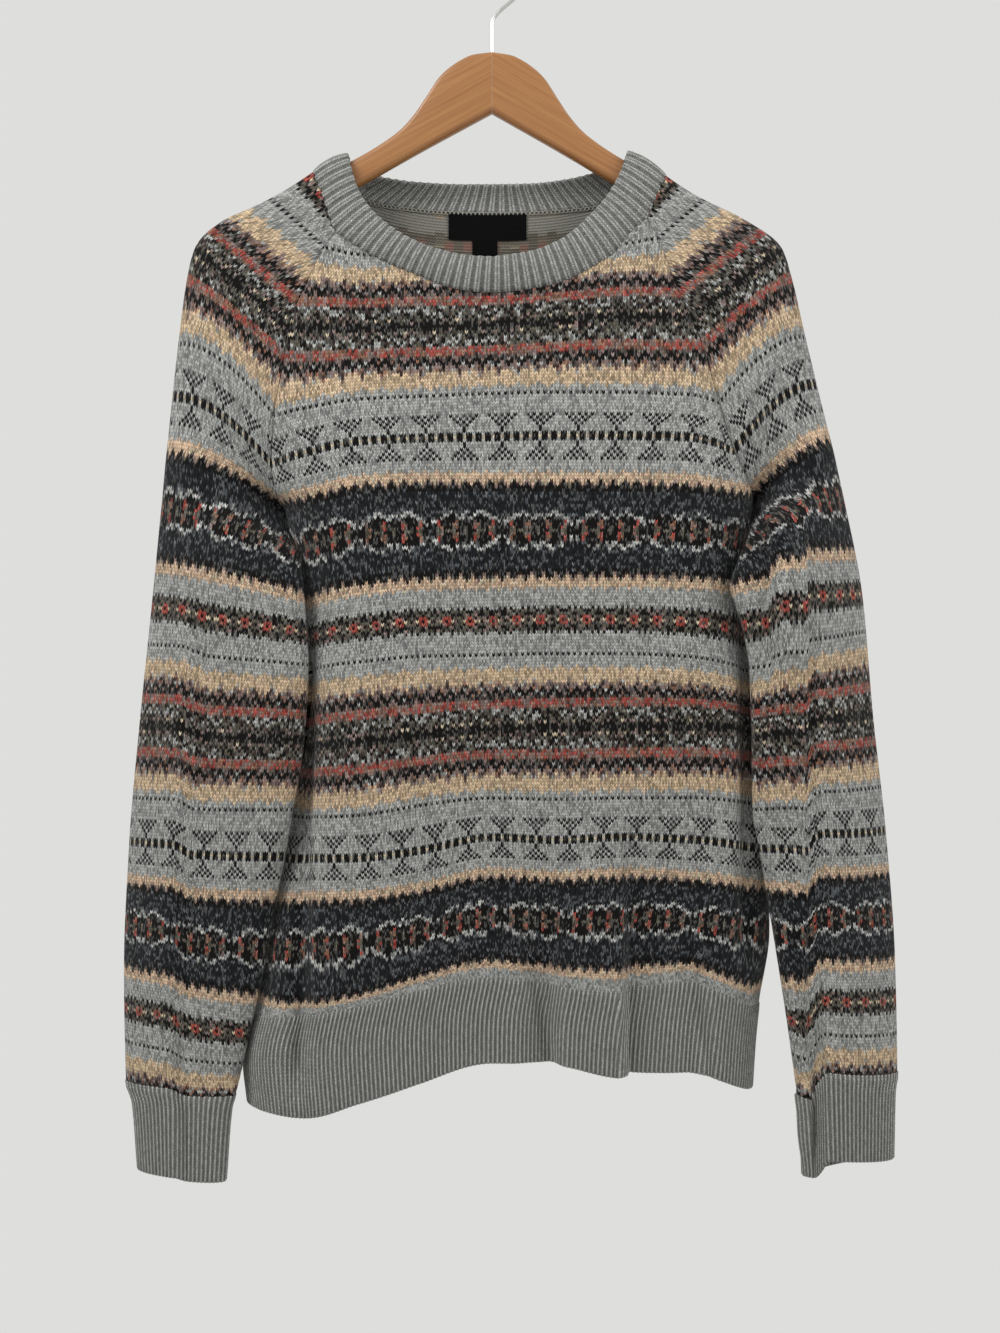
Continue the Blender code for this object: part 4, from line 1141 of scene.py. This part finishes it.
def rib_tree():
    """Lifts points along their normals: by Height times a rounded wave of their rib number."""
    tree, given = grow_tree("raised_ribs", ("Height", "Sharpness"))
    rib = add(tree, "GeometryNodeInputNamedAttribute", {0: "rib"}, data_type="FLOAT")
    share = add(tree, "GeometryNodeInputNamedAttribute", {0: "raise"}, data_type="FLOAT")
    angle = add(tree, "ShaderNodeMath", {0: rib, 1: 2 * math.pi}, operation="MULTIPLY")
    wave = add(tree, "ShaderNodeMath", {0: angle}, operation="COSINE")
    wave = add(tree, "ShaderNodeMath", {0: wave, 1: -0.5, 2: 0.5}, operation="MULTIPLY_ADD")
    wave = add(tree, "ShaderNodeMath", {0: wave, 1: given.outputs["Sharpness"]}, operation="POWER")
    lift = add(tree, "ShaderNodeMath", {0: wave, 1: share}, operation="MULTIPLY")
    lift = add(tree, "ShaderNodeMath", {0: lift, 1: given.outputs["Height"]}, operation="MULTIPLY")
    normal = add(tree, "GeometryNodeInputNormal")
    offset = add(tree, "ShaderNodeVectorMath", {0: normal, "Scale": lift}, operation="SCALE")
    moved = add(tree, "GeometryNodeSetPosition", {"Geometry": given.outputs[0], "Offset": offset})
    grow_end(tree, moved, given.outputs["Material"])
    return tree


def grown(piece, tree, values):
    """Runs a tree on a piece with named values, and returns the result as a plain mesh piece."""
    modifier = piece.modifiers.new(tree.name, "NODES")
    modifier.node_group = tree
    for socket in tree.interface.items_tree:
        if socket.in_out == "INPUT" and socket.name in values:
            modifier[socket.identifier] = values[socket.name]
    graph = bpy.context.evaluated_depsgraph_get()
    mesh = bpy.data.meshes.new_from_object(piece.evaluated_get(graph))
    piece.modifiers.remove(modifier)
    old = piece.data
    piece.data = mesh
    mesh.name = piece.name
    bpy.data.meshes.remove(old)
    mesh.shade_smooth()
    return piece


RIBS = rib_tree()
print("tree:", RIBS.name)

# %% [markdown]
# ## Heather grey rib
#
# The rib is knitted in the grey ground yarn alone. Heather yarn is spun from fibres dyed before spinning,
# so it is never one grey: each arm of a stitch takes its own, and paler and darker fibres run through it.
# The sunk columns between the knit ones lie in shade, so they are painted darker, as are the sides of each
# knit column and the grooves between strands.

# %% Heather grey rib


def heather_rib(name, knit_share, wales):
    """Ribbed grey wool. knit_share is how much of a rib's width its knit wales take, side by side."""
    finish, tree = finish_named(name)
    uv = add(tree, "ShaderNodeUVMap", uv_map="Stitch")
    rib, course = add(tree, "ShaderNodeSeparateXYZ", {0: uv}).outputs[:2]
    across = add(tree, "ShaderNodeMath", {0: rib}, operation="FRACT")
    off = add(tree, "ShaderNodeMath", {0: across, 1: 0.5}, operation="SUBTRACT")
    off = add(tree, "ShaderNodeMath", {0: off, 1: wales / knit_share}, operation="MULTIPLY")
    reach = add(tree, "ShaderNodeMath", {0: off}, operation="ABSOLUTE")
    raised = add(tree, "ShaderNodeMath", {0: reach, 1: wales / 2}, operation="LESS_THAN")
    column = add(tree, "ShaderNodeMath", {0: off, 1: wales / 2}, operation="ADD")
    column = add(tree, "ShaderNodeMath", {0: column}, operation="FRACT")
    side = add(tree, "ShaderNodeMath", {0: column, 1: 2.0, 2: -1.0}, operation="MULTIPLY_ADD")
    side = add(tree, "ShaderNodeMath", {0: side}, operation="ABSOLUTE")
    lift, thick = strand(tree, course, side, 0.0)
    row = add(tree, "ShaderNodeMath", {0: lift}, operation="FLOOR")
    chance = dealt(tree, rib, 4.0, row)[1]
    fibre = add(tree, "ShaderNodeTexNoise", {"Vector": uv, "Scale": 4.0, "Detail": 3.0})
    fleck = add(tree, "ShaderNodeValToRGB", {0: fibre})
    for stop, place, code in zip(fleck.color_ramp.elements, (0.3, 0.7), ("#6e6f6e", "#a9a9a4")):
        stop.position, stop.color = place, linear(code)
    # Painted shade: each knit column darker towards its sides, the sunk columns darker still, and darker
    # between the strands of a course.
    round_off = add(tree, "ShaderNodeMath", {0: side, 1: math.pi / 2}, operation="MULTIPLY")
    round_off = add(tree, "ShaderNodeMath", {0: round_off}, operation="COSINE")
    painted_wale_side_shade = add(tree, "ShaderNodeMath", {0: round_off, 1: 0.7, 2: 0.3}, operation="MULTIPLY_ADD")
    painted_rib_shade = add(tree, "ShaderNodeMix", {0: raised, 2: 0.42, 3: painted_wale_side_shade})
    painted_groove_shade = add(tree, "ShaderNodeMath", {0: thick, 1: 0.35, 2: 0.75}, operation="MULTIPLY_ADD")
    shade = add(tree, "ShaderNodeMath", {0: chance, 1: 0.4, 2: 0.8}, operation="MULTIPLY_ADD")
    shade = add(tree, "ShaderNodeMath", {0: shade, 1: painted_rib_shade}, operation="MULTIPLY")
    shade = add(tree, "ShaderNodeMath", {0: shade, 1: painted_groove_shade}, operation="MULTIPLY")
    colour = add(tree, "ShaderNodeVectorMath", {0: fleck, "Scale": shade}, operation="SCALE")
    woolly(tree, colour, thick, strength=0.6)
    return finish


hem_finish = heather_rib("heather_lambswool_rib", 0.56, 1)
neck_finish = heather_rib("heather_lambswool_neck_rib", 0.68, 2)
print("finishes:", hem_finish.name, neck_finish.name)

# %% [markdown]
# A band is a ring or a strip of cloth with a rounded free edge. Its section runs up the outside, round the
# edge and back down the inside. A strip is closed at its two ends.

# %% The section of a band
EDGE_RAISE = [0.8, 0.4, 0.1, 0.0]       # how the ribs die out round the free edge
EDGE_FROM, EDGE_TO = 0.5, 2.6           # the angles at the first and the last point of that edge


def outward(grid, closed):
    """Unit normals of a grid of points, by differences along its rows and columns."""
    side = np.roll(grid, -1, 1) - np.roll(grid, 1, 1) if closed else np.gradient(grid, axis=1, edge_order=2)
    normal = np.cross(side, np.gradient(grid, axis=0))
    return normal / np.linalg.norm(normal, axis=2, keepdims=True)


def face_outwards(mesh):
    """Turns the faces of a closed mesh outwards and shades them smooth."""
    body = bmesh.new()
    body.from_mesh(mesh)
    bmesh.ops.recalc_face_normals(body, faces=body.faces)
    body.to_mesh(mesh)
    body.free()
    mesh.shade_smooth()


def band_section(outer, normal, courses):
    """Rows of points round a band's section, and how much of the rib and which course each row takes."""
    inner = outer - normal * BAND_WALL
    free = outer[-1] - outer[-2]
    free = free / np.linalg.norm(free, axis=1, keepdims=True)
    middle, radius = (outer[-1] + inner[-1]) / 2, BAND_WALL / 2
    angles = np.linspace(EDGE_FROM, EDGE_TO, len(EDGE_RAISE))
    rim = [middle + radius * (math.cos(a) * normal[-1] + math.sin(a) * free) for a in angles]
    raised = [1.0] * len(outer) + EDGE_RAISE + [0.0] * len(inner)
    rows = list(courses) + [courses[-1]] * len(rim) + list(courses[::-1])
    return np.array([*outer, *rim, *inner[::-1]]), raised, rows


def band_faces(rows, rib, wide):
    """A band's faces, and the corners of both its maps: ribs and courses, and shares of the bake."""
    tall, columns = len(rows), len(rib) - 1
    faces, uv, bake = [], [], []
    for i, low in enumerate(rows):
        above = (i + 1) % tall
        high = rows[above]
        for j in range(columns):
            right = (j + 1) % wide
            faces.append((i * wide + j, i * wide + right, above * wide + right, above * wide + j))
            uv += [(rib[j], -low), (rib[j + 1], -low), (rib[j + 1], -high), (rib[j], -high)]
            bake += [(j, i), (j + 1, i), (j + 1, i + 1), (j, i + 1)]
    return faces, uv, np.array(bake) / (columns, tall) * (1 - 2 * BAKE_MARGIN) + BAKE_MARGIN


def end_faces(rows, rib, wide):
    """The faces that close the two ends of a strip, and the corners of their first map."""
    tall = len(rows)
    deep = (tall - len(EDGE_RAISE)) // 2
    faces, uv = [], []
    for j in (0, wide - 1):
        loops = [(i, i + 1, tall - 2 - i, tall - 1 - i) for i in range(deep - 1)]
        for loop in loops:
            uv += [(rib[j], -rows[k]) for k in loop]
        tip = range(deep - 1, deep + 1 + len(EDGE_RAISE))
        uv += [(rib[j], -rows[-1])] * len(tip)
        faces += [tuple(k * wide + j for k in loop) for loop in [*loops, tip]]
    return faces, uv


print("a band's edge has", len(EDGE_RAISE), "rows")

# %% Making a band


def band(name, outer, normal, closed, courses, pitch, height, sharpness, finish, creases=None):
    """A ribbed band from its outer points. The last row is the free edge."""
    if creases is not None:
        outer = outer + creased(outer.reshape(-1, 3), normal.reshape(-1, 3), creases).reshape(outer.shape)
    section, raised, rows = band_section(outer, normal, courses)
    wide = outer.shape[1]
    middle_row = outer[len(outer) // 2]
    run = distances(np.concatenate([middle_row, middle_row[:1]]) if closed else middle_row)
    ribs = round(run[-1] / pitch)
    rib = run / run[-1] * ribs
    faces, uv, bake = band_faces(rows, rib, wide)
    end, end_uv = ([], []) if closed else end_faces(rows, rib, wide)
    bake = np.concatenate([bake, np.full((len(end_uv), 2), BAKE_MARGIN / 2)])
    mesh = mesh_of(name, section.reshape(-1, 3), faces + end, Stitch=uv + end_uv, OFBake=bake)
    for attribute, values in (("rib", np.tile(rib[:wide], len(rows))), ("raise", np.repeat(raised, wide))):
        mesh.attributes.new(attribute, "FLOAT", "POINT").data.foreach_set("value", values)
    face_outwards(mesh)
    sizes = {"Height": height * MM, "Sharpness": sharpness, "Material": finish}
    made = grown(placed(name, mesh), RIBS, sizes)
    count, area = len(made.data.polygons), sum(p.area for p in made.data.polygons) / 2
    print(name, ribs, "ribs,", count, "faces,", round(area, 4), "square metres")
    return made


FINE_RIB = {"pitch": 3.25, "height": 1.1, "sharpness": 1.2, "finish": hem_finish}
WIDE_RIB = {"pitch": 6.9, "height": 1.2, "sharpness": 0.8, "finish": neck_finish}
print("rib pitches:", FINE_RIB["pitch"], WIDE_RIB["pitch"], "mm")

# %% [markdown]
# ## Hem and cuffs
#
# The hem rib is knitted on to each panel and holds the body in. The cuffs do the same for the sleeves. Each
# rib is drawn with six columns of points and each band with sixteen rows, counted along its middle row.

# %% Hem ribs
RIB_COLUMNS, RIB_ROWS = 6, 16


def hem(face):
    """One half of the hem rib."""
    courses = np.linspace(HEM_TOP, HEM_END, RIB_ROWS)
    rows = [panel_row(face, c) for c in courses]
    length = np.linalg.norm(np.diff(rows[RIB_ROWS // 2], axis=0), axis=1).sum()
    shares = np.linspace(0, 1, round(length / FINE_RIB["pitch"]) * RIB_COLUMNS + 1)
    outer = np.array([along(row, shares) for row in rows])
    normal = outward(outer, False) * (-1 if face == "front" else 1)
    return band("hem_" + face, outer, normal, False, courses, creases=CREASES[face], **FINE_RIB)


hem_front = hem("front")
hem_back = hem("back")

# %% Cuffs


def cuff(side):
    """A ribbed cuff."""
    courses = np.linspace(CUFF_TOP, CUFF_END, RIB_ROWS)
    lines = [sleeve_line(side, c) for c in courses]
    columns = round(lines[RIB_ROWS // 2][1][-1] / FINE_RIB["pitch"]) * RIB_COLUMNS
    outer = np.array([along(line[0], np.arange(columns) / columns) for line in lines])
    normal = outward(outer, True) * (-1 if side == "right" else 1)
    return band("cuff_" + side, outer, normal, True, courses, creases=CREASES[side], **FINE_RIB)


cuff_left = cuff("left")
cuff_right = cuff("right")

# %% [markdown]
# ## The neckband
#
# The neckband is knitted as a strip and linked on round the neck. Its ribs are wider than those of the hem:
# two knit wales to each purl wale. The table gives its free edge, by quarter turns from the middle of the
# front.

# %% The path of the neckband
NECK_EDGE = table(
    "turn x y z",
    (0, 1, -25, -239), (0.12, -17, -25, -238), (0.31, -45, -23, -231), (0.49, -70, -20, -218.5),
    (0.70, -93, -15, -197), (0.82, -101, -12.5, -182), (0.91, -105.5, -11.5, -167),
    (0.96, -107.5, -9.5, -160), (1, -108, 0, -156.3), (1.04, -107, 9.5, -160), (1.10, -102, 12, -164.5),
    (1.23, -88, 15, -168), (1.52, -55, 19, -172), (1.81, -21, 20, -173.5), (2, 1, 20, -173.5),
    (2.27, 29, 19.5, -173), (2.50, 54, 18, -170.5), (2.72, 77, 15, -166), (2.88, 93, 12, -161),
    (2.96, 100, 9.5, -157.5), (3, 102, 0, -154.5), (3.04, 101, -9.5, -158), (3.10, 98.5, -12, -166),
    (3.25, 89, -14, -186), (3.42, 74, -18, -205), (3.62, 53, -22, -224), (3.80, 29, -24, -234.5),
)
NECK_COLUMNS, NECK_ROWS = 576, 14
BAND_BULGE = 2.2        # the neckband rounds out between its two edges


def neck_seam(columns):
    """The loop where the neckband is sewn on, with quarters that end at the middles and the shoulders."""
    middle = float(FRONT_NECK["share"][4])      # the lowest point of the neckline
    fine = np.linspace(0, 1, 41)

    def panel(face, share):
        return along(panel_row(face, neck_course(face, share)), [share])[0]

    def painted_wale_side_shade(side, turn):
        half, share = (0, 2 * turn) if turn <= 0.5 else (1, 2 - 2 * turn)
        row = sleeve_row(side, sleeve_top_course(side, turn))[half]
        return along(row, [share])[0]

    quarters = [
        [panel("front", middle * (1 - t)) for t in fine] + [painted_wale_side_shade("left", t / 2) for t in fine[1:]],
        [painted_wale_side_shade("left", 0.5 + t / 2) for t in fine] + [panel("back", t / 2) for t in fine[1:]],
        [panel("back", 0.5 + t / 2) for t in fine] + [painted_wale_side_shade("right", 1 - t / 2) for t in fine[1:]],
        [painted_wale_side_shade("right", 0.5 - t / 2) for t in fine]
        + [panel("front", 1 - (1 - middle) * t) for t in fine[1:]],
    ]
    shares = np.linspace(0, 1, columns // 4, endpoint=False)
    return np.concatenate([along(np.array(quarter), shares) for quarter in quarters])


def neck_rings(columns):
    """The band's seam, its first row, its free edge and the way into the neck, at points round it."""
    seam = neck_seam(columns)
    turns = np.arange(columns) / columns * 4
    wrapped = {name: np.concatenate([values, values[:1]]) for name, values in NECK_EDGE.items()}
    wrapped["turn"][-1] = 4
    edge = np.stack([smooth(wrapped["turn"], wrapped[name], turns) for name in "xyz"], 1)
    up = (edge - seam) / np.linalg.norm(edge - seam, axis=1, keepdims=True)
    start = seam + up * NECK_GAP
    return seam, start, edge, outward(np.array([start, (start + edge) / 2, edge]), True)[1]


def neckband():
    """The ribbed band round the neck, from its seam to its free edge."""
    start, edge, flat = neck_rings(NECK_COLUMNS)[1:]
    lifts = np.linspace(0, 1, NECK_ROWS)
    grid = np.array([start + (edge - start) * t - flat * BAND_BULGE * 4 * t * (1 - t) for t in lifts])
    return band("neckband_piece", grid, -outward(grid, True), True, lifts * NECK_ROWS, **WIDE_RIB)


neck = neckband()

# %% [markdown]
# Inside, the band is linked to the body by a chain of loops, one to each pair of wales. A chain is one
# small loop repeated along a line, so nodes set it out: the line is cut to even steps, and a loop is turned
# along it and flat against the cloth at each step.

# %% The linked seam
LINK_COLUMNS = 288
LINK_DEPTH = WALL + 0.9                 # how far inside the seam the chain lies
LINK_SIZES = {"Pitch": 3.2 * MM, "Width": 1.5 * MM, "Yarn": 0.42 * MM}
LOOP_SCALE = (1.25, 0.8, 1.0)           # a loop is longer than it is wide


def link_tree():
    """Sets yarn loops along a line of edges, flat against the cloth."""
    tree, given = grow_tree("linked_seam", LINK_SIZES)
    pitch, width, yarn = (given.outputs[name] for name in LINK_SIZES)
    line = add(tree, "GeometryNodeMeshToCurve", {0: given})
    line = add(tree, "GeometryNodeResampleCurve", {"Curve": line, "Length": pitch}, mode="LENGTH")
    ring = add(tree, "GeometryNodeCurvePrimitiveCircle", {"Resolution": 8, "Radius": width})
    across = add(tree, "GeometryNodeCurvePrimitiveCircle", {"Resolution": 5, "Radius": yarn})
    loop = add(tree, "GeometryNodeCurveToMesh", {"Curve": ring, "Profile Curve": across})
    loop = add(tree, "GeometryNodeTransform", {"Geometry": loop, "Scale": LOOP_SCALE})
    heading = add(tree, "GeometryNodeInputTangent")
    into = add(tree, "GeometryNodeInputNamedAttribute", {0: "into"}, data_type="FLOAT_VECTOR")
    turn = add(tree, "FunctionNodeAlignRotationToVector", {"Vector": into}, axis="Z")
    turn = add(tree, "FunctionNodeAlignRotationToVector", {
        "Rotation": turn, "Vector": heading}, axis="X", pivot_axis="Z")
    chain = add(tree, "GeometryNodeInstanceOnPoints", {"Points": line, "Instance": loop, "Rotation": turn})
    grow_end(tree, chain, given.outputs["Material"])
    return tree


# Grey lambswool yarn by itself: dull, with soft edges, so the chain doesn't shine inside the neck.
linking_yarn, tree = finish_named("grey_lambswool_yarn")
ply = add(tree, "ShaderNodeBsdfPrincipled", {
    "Base Color": linear("#8d8c84"), "Roughness": 0.92, "Sheen Weight": 0.05, "Specular IOR Level": 0.1})
add(tree, "ShaderNodeOutputMaterial", {"Surface": ply})


def linked_seam():
    """The chain of loops inside the neck seam."""
    seam, into = neck_rings(LINK_COLUMNS)[::3]
    line = seam + into * LINK_DEPTH
    mesh = bpy.data.meshes.new("neck_linking")
    around = [(i, (i + 1) % len(line)) for i in range(len(line))]
    mesh.from_pydata((line * MM).tolist(), around, [])
    mesh.attributes.new("into", "FLOAT_VECTOR", "POINT").data.foreach_set("vector", into.ravel())
    made = grown(placed("neck_linking", mesh), link_tree(), {**LINK_SIZES, "Material": linking_yarn})
    print("linked seam:", len(made.data.polygons), "faces")
    return made


linking = linked_seam()

# %% [markdown]
# ## The hanger
#
# Each arm is bandsawn from a maple board, rounded along its edges and lacquered, and the two are glued in a
# mitre at the middle. A loft of rounded sections gives that form, with more sections than the plain solid
# has.

# %% The wood
# The top and the underside of an arm: heights by the distance from the middle.
WOOD_TOP = table(
    "x z",
    (0, -80.2), (14, -82.2), (24, -86.8), (33, -93.2), (40, -100.3), (46, -109.5), (52, -118.8),
    (58, -127.5), (68, -138.7), (79, -147.2), (92, -155.6), (105, -163), (120, -171.4), (142, -182.8),
    (162, -194.4), (182, -205.2), (198, -214.4), (206, -221.5),
)
WOOD_UNDER = table(
    "x z",
    (0, -125.7), (50, -153.5), (98, -181), (140, -204), (175, -221), (198, -231), (206, -233),
)
WOOD_THICK = 11.0
WOOD_EDGE = 4.8         # the radius of the arms' long edges
WOOD_TILT = 0.0136      # the hanger hangs a little down to the right
TIP_FROM, TIP_LENGTH = 190.0, 17.0      # each arm's end is rounded off from here
TIP_LEAST = 0.05        # the last section isn't a point
MITRE_GAP = 0.06        # from the middle plane to each arm
GRAIN_PER_MM = (0.012, 0.35, 1.0)       # figure some 80 mm long and 3 mm across
ARM_LONG, ARM_FALL = 1.13, 0.56         # an arm's length and its fall for each mm of x
BOARD_APART = 400.0     # the arms come from different parts of the board, so their figures differ


def lacquered_maple():
    """Maple under a thin clear lacquer. Its grain shows as a slow change of tone along the arm, and the
    lacquer lays a soft gleam over it."""
    finish, tree = finish_named("lacquered_maple")
    uv = add(tree, "ShaderNodeUVMap", uv_map="Grain")
    spread = add(tree, "ShaderNodeMapping", {"Vector": uv, "Scale": GRAIN_PER_MM})
    wander = add(tree, "ShaderNodeTexNoise", {"Vector": spread, "Scale": 1.0, "Detail": 5.0})
    tone = add(tree, "ShaderNodeValToRGB", {0: wander})
    for stop, place, code in zip(tone.color_ramp.elements, (0.3, 0.7), ("#7f4f22", "#946636")):
        stop.position, stop.color = place, linear(code)
    wood = add(tree, "ShaderNodeBsdfPrincipled", {
        "Base Color": tone, "Roughness": 0.42, "Coat Weight": 0.35, "Coat Roughness": 0.25})
    add(tree, "ShaderNodeOutputMaterial", {"Surface": wood})
    return finish


def crisp(mesh, finish):
    """Ends a closed mesh as a piece with sharp corners, in its finish."""
    face_outwards(mesh)
    mesh.set_sharp_from_angle(angle=math.radians(50))
    mesh.materials.append(finish)
    return placed(mesh.name, mesh)


def arm_section(x):
    """An arm's section at a distance from the middle: its middle height, half its height and depth, and the
    radius of its edges."""
    top, under = (float(smooth(edge["x"], edge["z"], x)) for edge in (WOOD_TOP, WOOD_UNDER))
    shrink = 1 if x < TIP_FROM else math.sqrt(max(1 - ((x - TIP_FROM) / TIP_LENGTH) ** 2, TIP_LEAST))
    slim = 0.6 + 0.4 * shrink
    return (top + under) / 2, (top - under) / 2 * shrink, WOOD_THICK / 2 * slim, WOOD_EDGE * slim


def hanger_arm(name, sign, finish):
    """Half of the hanger."""
    stations = np.concatenate([[MITRE_GAP], np.linspace(2, 188, 72), np.linspace(TIP_FROM, 205.8, 14)])
    corner = np.linspace(0, math.pi / 2, 7)
    points, uv_at = [], []
    for x in stations:
        middle, tall, half, radius = arm_section(x)
        for k, (sy, sz) in enumerate(((1, 1), (-1, 1), (-1, -1), (1, -1))):
            for a in corner if k % 2 == 0 else corner[::-1]:
                y = sy * (half - radius + radius * math.cos(a))
                z = sz * (tall - radius + radius * math.sin(a))
                points.append((sign * x, y, middle + z - sign * x * WOOD_TILT))
                along_board = x * ARM_LONG + BOARD_APART * (sign > 0)
                uv_at.append((along_board, middle + z + x * ARM_FALL + y * 0.8))
    around = 4 * len(corner)
    faces = [tuple(range(around)), tuple(range(len(points) - around, len(points)))]
    for i in range(len(stations) - 1):
        for j in range(around):
            a, b = i * around + j, i * around + (j + 1) % around
            faces.append((a, b, b + around, a + around))
    return crisp(mesh_of(name, points, faces, Grain=[uv_at[v] for face in faces for v in face]), finish)


maple = lacquered_maple()
arm_left = hanger_arm("arm_left", -1, maple)
arm_right = hanger_arm("arm_right", 1, maple)
print("arms:", len(arm_left.data.polygons), "faces each")

# %% [markdown]
# ## The hook
#
# The hook is cold-bent steel wire, bright plated: a mirror-like metal, blurred a little by handling marks
# too fine to see one by one.

# %% The hook
WIRE = 2.8
HOOK_RADIUS = 24.0      # to the middle of the wire
RING = np.radians(np.arange(-38, 203, 4))
STEM_FOOT, STEM_BEND = -80.0, -59.0     # the straight stem's ends
BEND_PULL = 8.0         # how far the wire keeps its direction at both ends of the bend
MARKS = 900.0           # over the hook's whole height, so they are under 0.1 mm apart

plated, tree = finish_named("nickel_plated_steel")
scratch = add(tree, "ShaderNodeTexNoise", {"Scale": MARKS, "Detail": 3.0})
rough = add(tree, "ShaderNodeMapRange", {0: scratch, 3: 0.16, 4: 0.34})
metal = add(tree, "ShaderNodeBsdfPrincipled", {
    "Base Color": linear("#c9c8c5"), "Metallic": 1.0, "Roughness": rough})
add(tree, "ShaderNodeOutputMaterial", {"Surface": metal})

centre = -HOOK_RADIUS + WIRE / 2
crook = [np.array([HOOK_RADIUS * math.cos(a), centre + HOOK_RADIUS * math.sin(a)]) for a in RING]
heading = np.array([-math.sin(RING[0]), math.cos(RING[0])])
pull = crook[0] - BEND_PULL * heading
bend = [np.array([0, STEM_BEND]), np.array([0, STEM_BEND + BEND_PULL]), pull, crook[0]]
route = [np.array([0, STEM_FOOT])]
for t in np.linspace(0, 1, 15)[:-1]:
    weights = ((1 - t) ** 3, 3 * t * (1 - t) ** 2, 3 * t * t * (1 - t), t**3)
    route.append(sum(w * p for w, p in zip(weights, bend)))
route += crook
curve = bpy.data.curves.new("wire_hook", "CURVE")
curve.dimensions = "3D"
curve.bevel_depth = WIRE / 2 * MM
curve.bevel_resolution = 4
curve.use_fill_caps = True
spline = curve.splines.new("POLY")
spline.points.add(len(route) - 1)
for point, (x, z) in zip(spline.points, route):
    point.co = (x * MM, 0, z * MM, 1)
curve.materials.append(plated)
wire = placed("wire_hook", curve)
print("hook:", len(route), "points")

# %% [markdown]
# ## The woven labels
#
# The label and the size tab are woven satin tape, left bare here. Satin floats its warp over the weft, so
# it is smooth, and the weft shows only as fine ridges across it.

# %% Labels
RIDGES = 900.0          # ridges 0.35 mm apart, because a wave repeats every 0.314 m over its scale
TAPE_GAP = 0.35         # between the tape and the cloth
TAPE_POINTS = (13, 31)  # down and across

satin, tree = finish_named("black_damask_satin")
where = add(tree, "ShaderNodeTexCoord").outputs["Object"]
weft = add(tree, "ShaderNodeTexWave", {"Vector": where, "Scale": RIDGES}, bands_direction="Z")
bump = add(tree, "ShaderNodeBump", {"Height": weft.outputs["Fac"], "Strength": 0.5, "Distance": 0.0002})
thread = add(tree, "ShaderNodeBsdfPrincipled", {
    "Base Color": linear("#060606"), "Roughness": 0.7, "Normal": bump, "Specular IOR Level": 0.06})
add(tree, "ShaderNodeOutputMaterial", {"Surface": thread})


def tape(name, x_span, below, thick):
    """A strip of woven tape inside the back, over a span of x and a span of depths below the neck seam."""
    top, low = -64, -47     # two courses with heights of their own in the table
    row_mm = (read(BACK_MIDDLE, "z", top) - read(BACK_MIDDLE, "z", low)) / (low - top)
    grid = []
    for d in np.linspace(*below, TAPE_POINTS[0]):
        row = panel_row("back", neck_course("back", 0.5) + d / row_mm)
        xs = np.linspace(*x_span, TAPE_POINTS[1])
        grid.append(np.stack([xs] + [np.interp(xs, row[:, 0], row[:, k]) for k in (1, 2)], 1))
    back_side = np.array(grid) - np.array([0, WALL + TAPE_GAP, 0])
    front_side = back_side - np.array([0, thick, 0])
    points = np.concatenate([front_side.reshape(-1, 3), back_side.reshape(-1, 3)])
    at = np.arange(len(points) // 2).reshape(TAPE_POINTS)
    loop = np.concatenate([at[0], at[1:, -1], at[-1, -2::-1], at[-2:0:-1, 0]])
    after = np.roll(loop, -1)
    edge = np.stack([loop, after, after + at.size, loop + at.size], 1)
    faces = np.concatenate([fours(at), fours(at) + at.size, edge])
    return crisp(mesh_of(name, points, faces.tolist()), satin)


label = tape("bare_label", (-33, 26), (0.6, 20.5), 0.8)
tab = tape("bare_size_tab", (-15, 4), (20.9, 32.0), 0.6)
print("labels:", label.name, tab.name)

# %% [markdown]
# ## Handing over
#
# Each dressed piece takes the place of its plain solid. The slot of each finish is listed, and so is every
# cloth piece, with the width and length it was knitted to, in metres, its area where it was shaped, and the
# pieces that carry it. A rib's width is counted as it hangs, drawn in.

# %% Handing over
STANDS_FOR = {
    front: "front_panel", back: "back_panel", sleeve_left: "left_sleeve", sleeve_right: "right_sleeve",
    hem_front: "hem_rib_front", hem_back: "hem_rib_back", cuff_left: "left_cuff", cuff_right: "right_cuff",
    neck: "neckband", label: "neck_label", tab: "size_tab", arm_left: "hanger_arm_left",
    arm_right: "hanger_arm_right", wire: "hook",
}
SLOT_OF = {
    "knit": (front, back, sleeve_left, sleeve_right),
    "rib": (hem_front, hem_back, cuff_left, cuff_right, neck),
    "label": (label, tab),
    "wood": (arm_left, arm_right),
    "steel": (wire,),
}
for piece, node in STANDS_FOR.items():
    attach(piece, "root")
    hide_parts(node)
for slot, pieces in SLOT_OF.items():
    for piece in pieces:
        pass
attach(linking, "root")

SHEETS = (
    (front, (0.459, 0.618), 0.206, [arm_left, arm_right]),
    (back, (0.432, 0.623), 0.211, [arm_left, arm_right]),
    (sleeve_left, (0.284, 0.724), 0.154, [arm_left]),
    (sleeve_right, (0.260, 0.720), 0.138, [arm_right]),
    (hem_front, (0.462, 0.060), None, [front]),
    (hem_back, (0.436, 0.063), None, [back]),
    (cuff_left, (0.166, 0.061), None, [sleeve_left]),
    (cuff_right, (0.185, 0.061), None, [sleeve_right]),
    (neck, (0.600, 0.025), None, [front, back]),
    (label, (0.059, 0.020), None, [back]),
    (tab, (0.019, 0.011), None, [back]),
)
for piece, flat, area, carriers in SHEETS:
    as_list(carriers)
print("pieces:", len(STANDS_FOR))
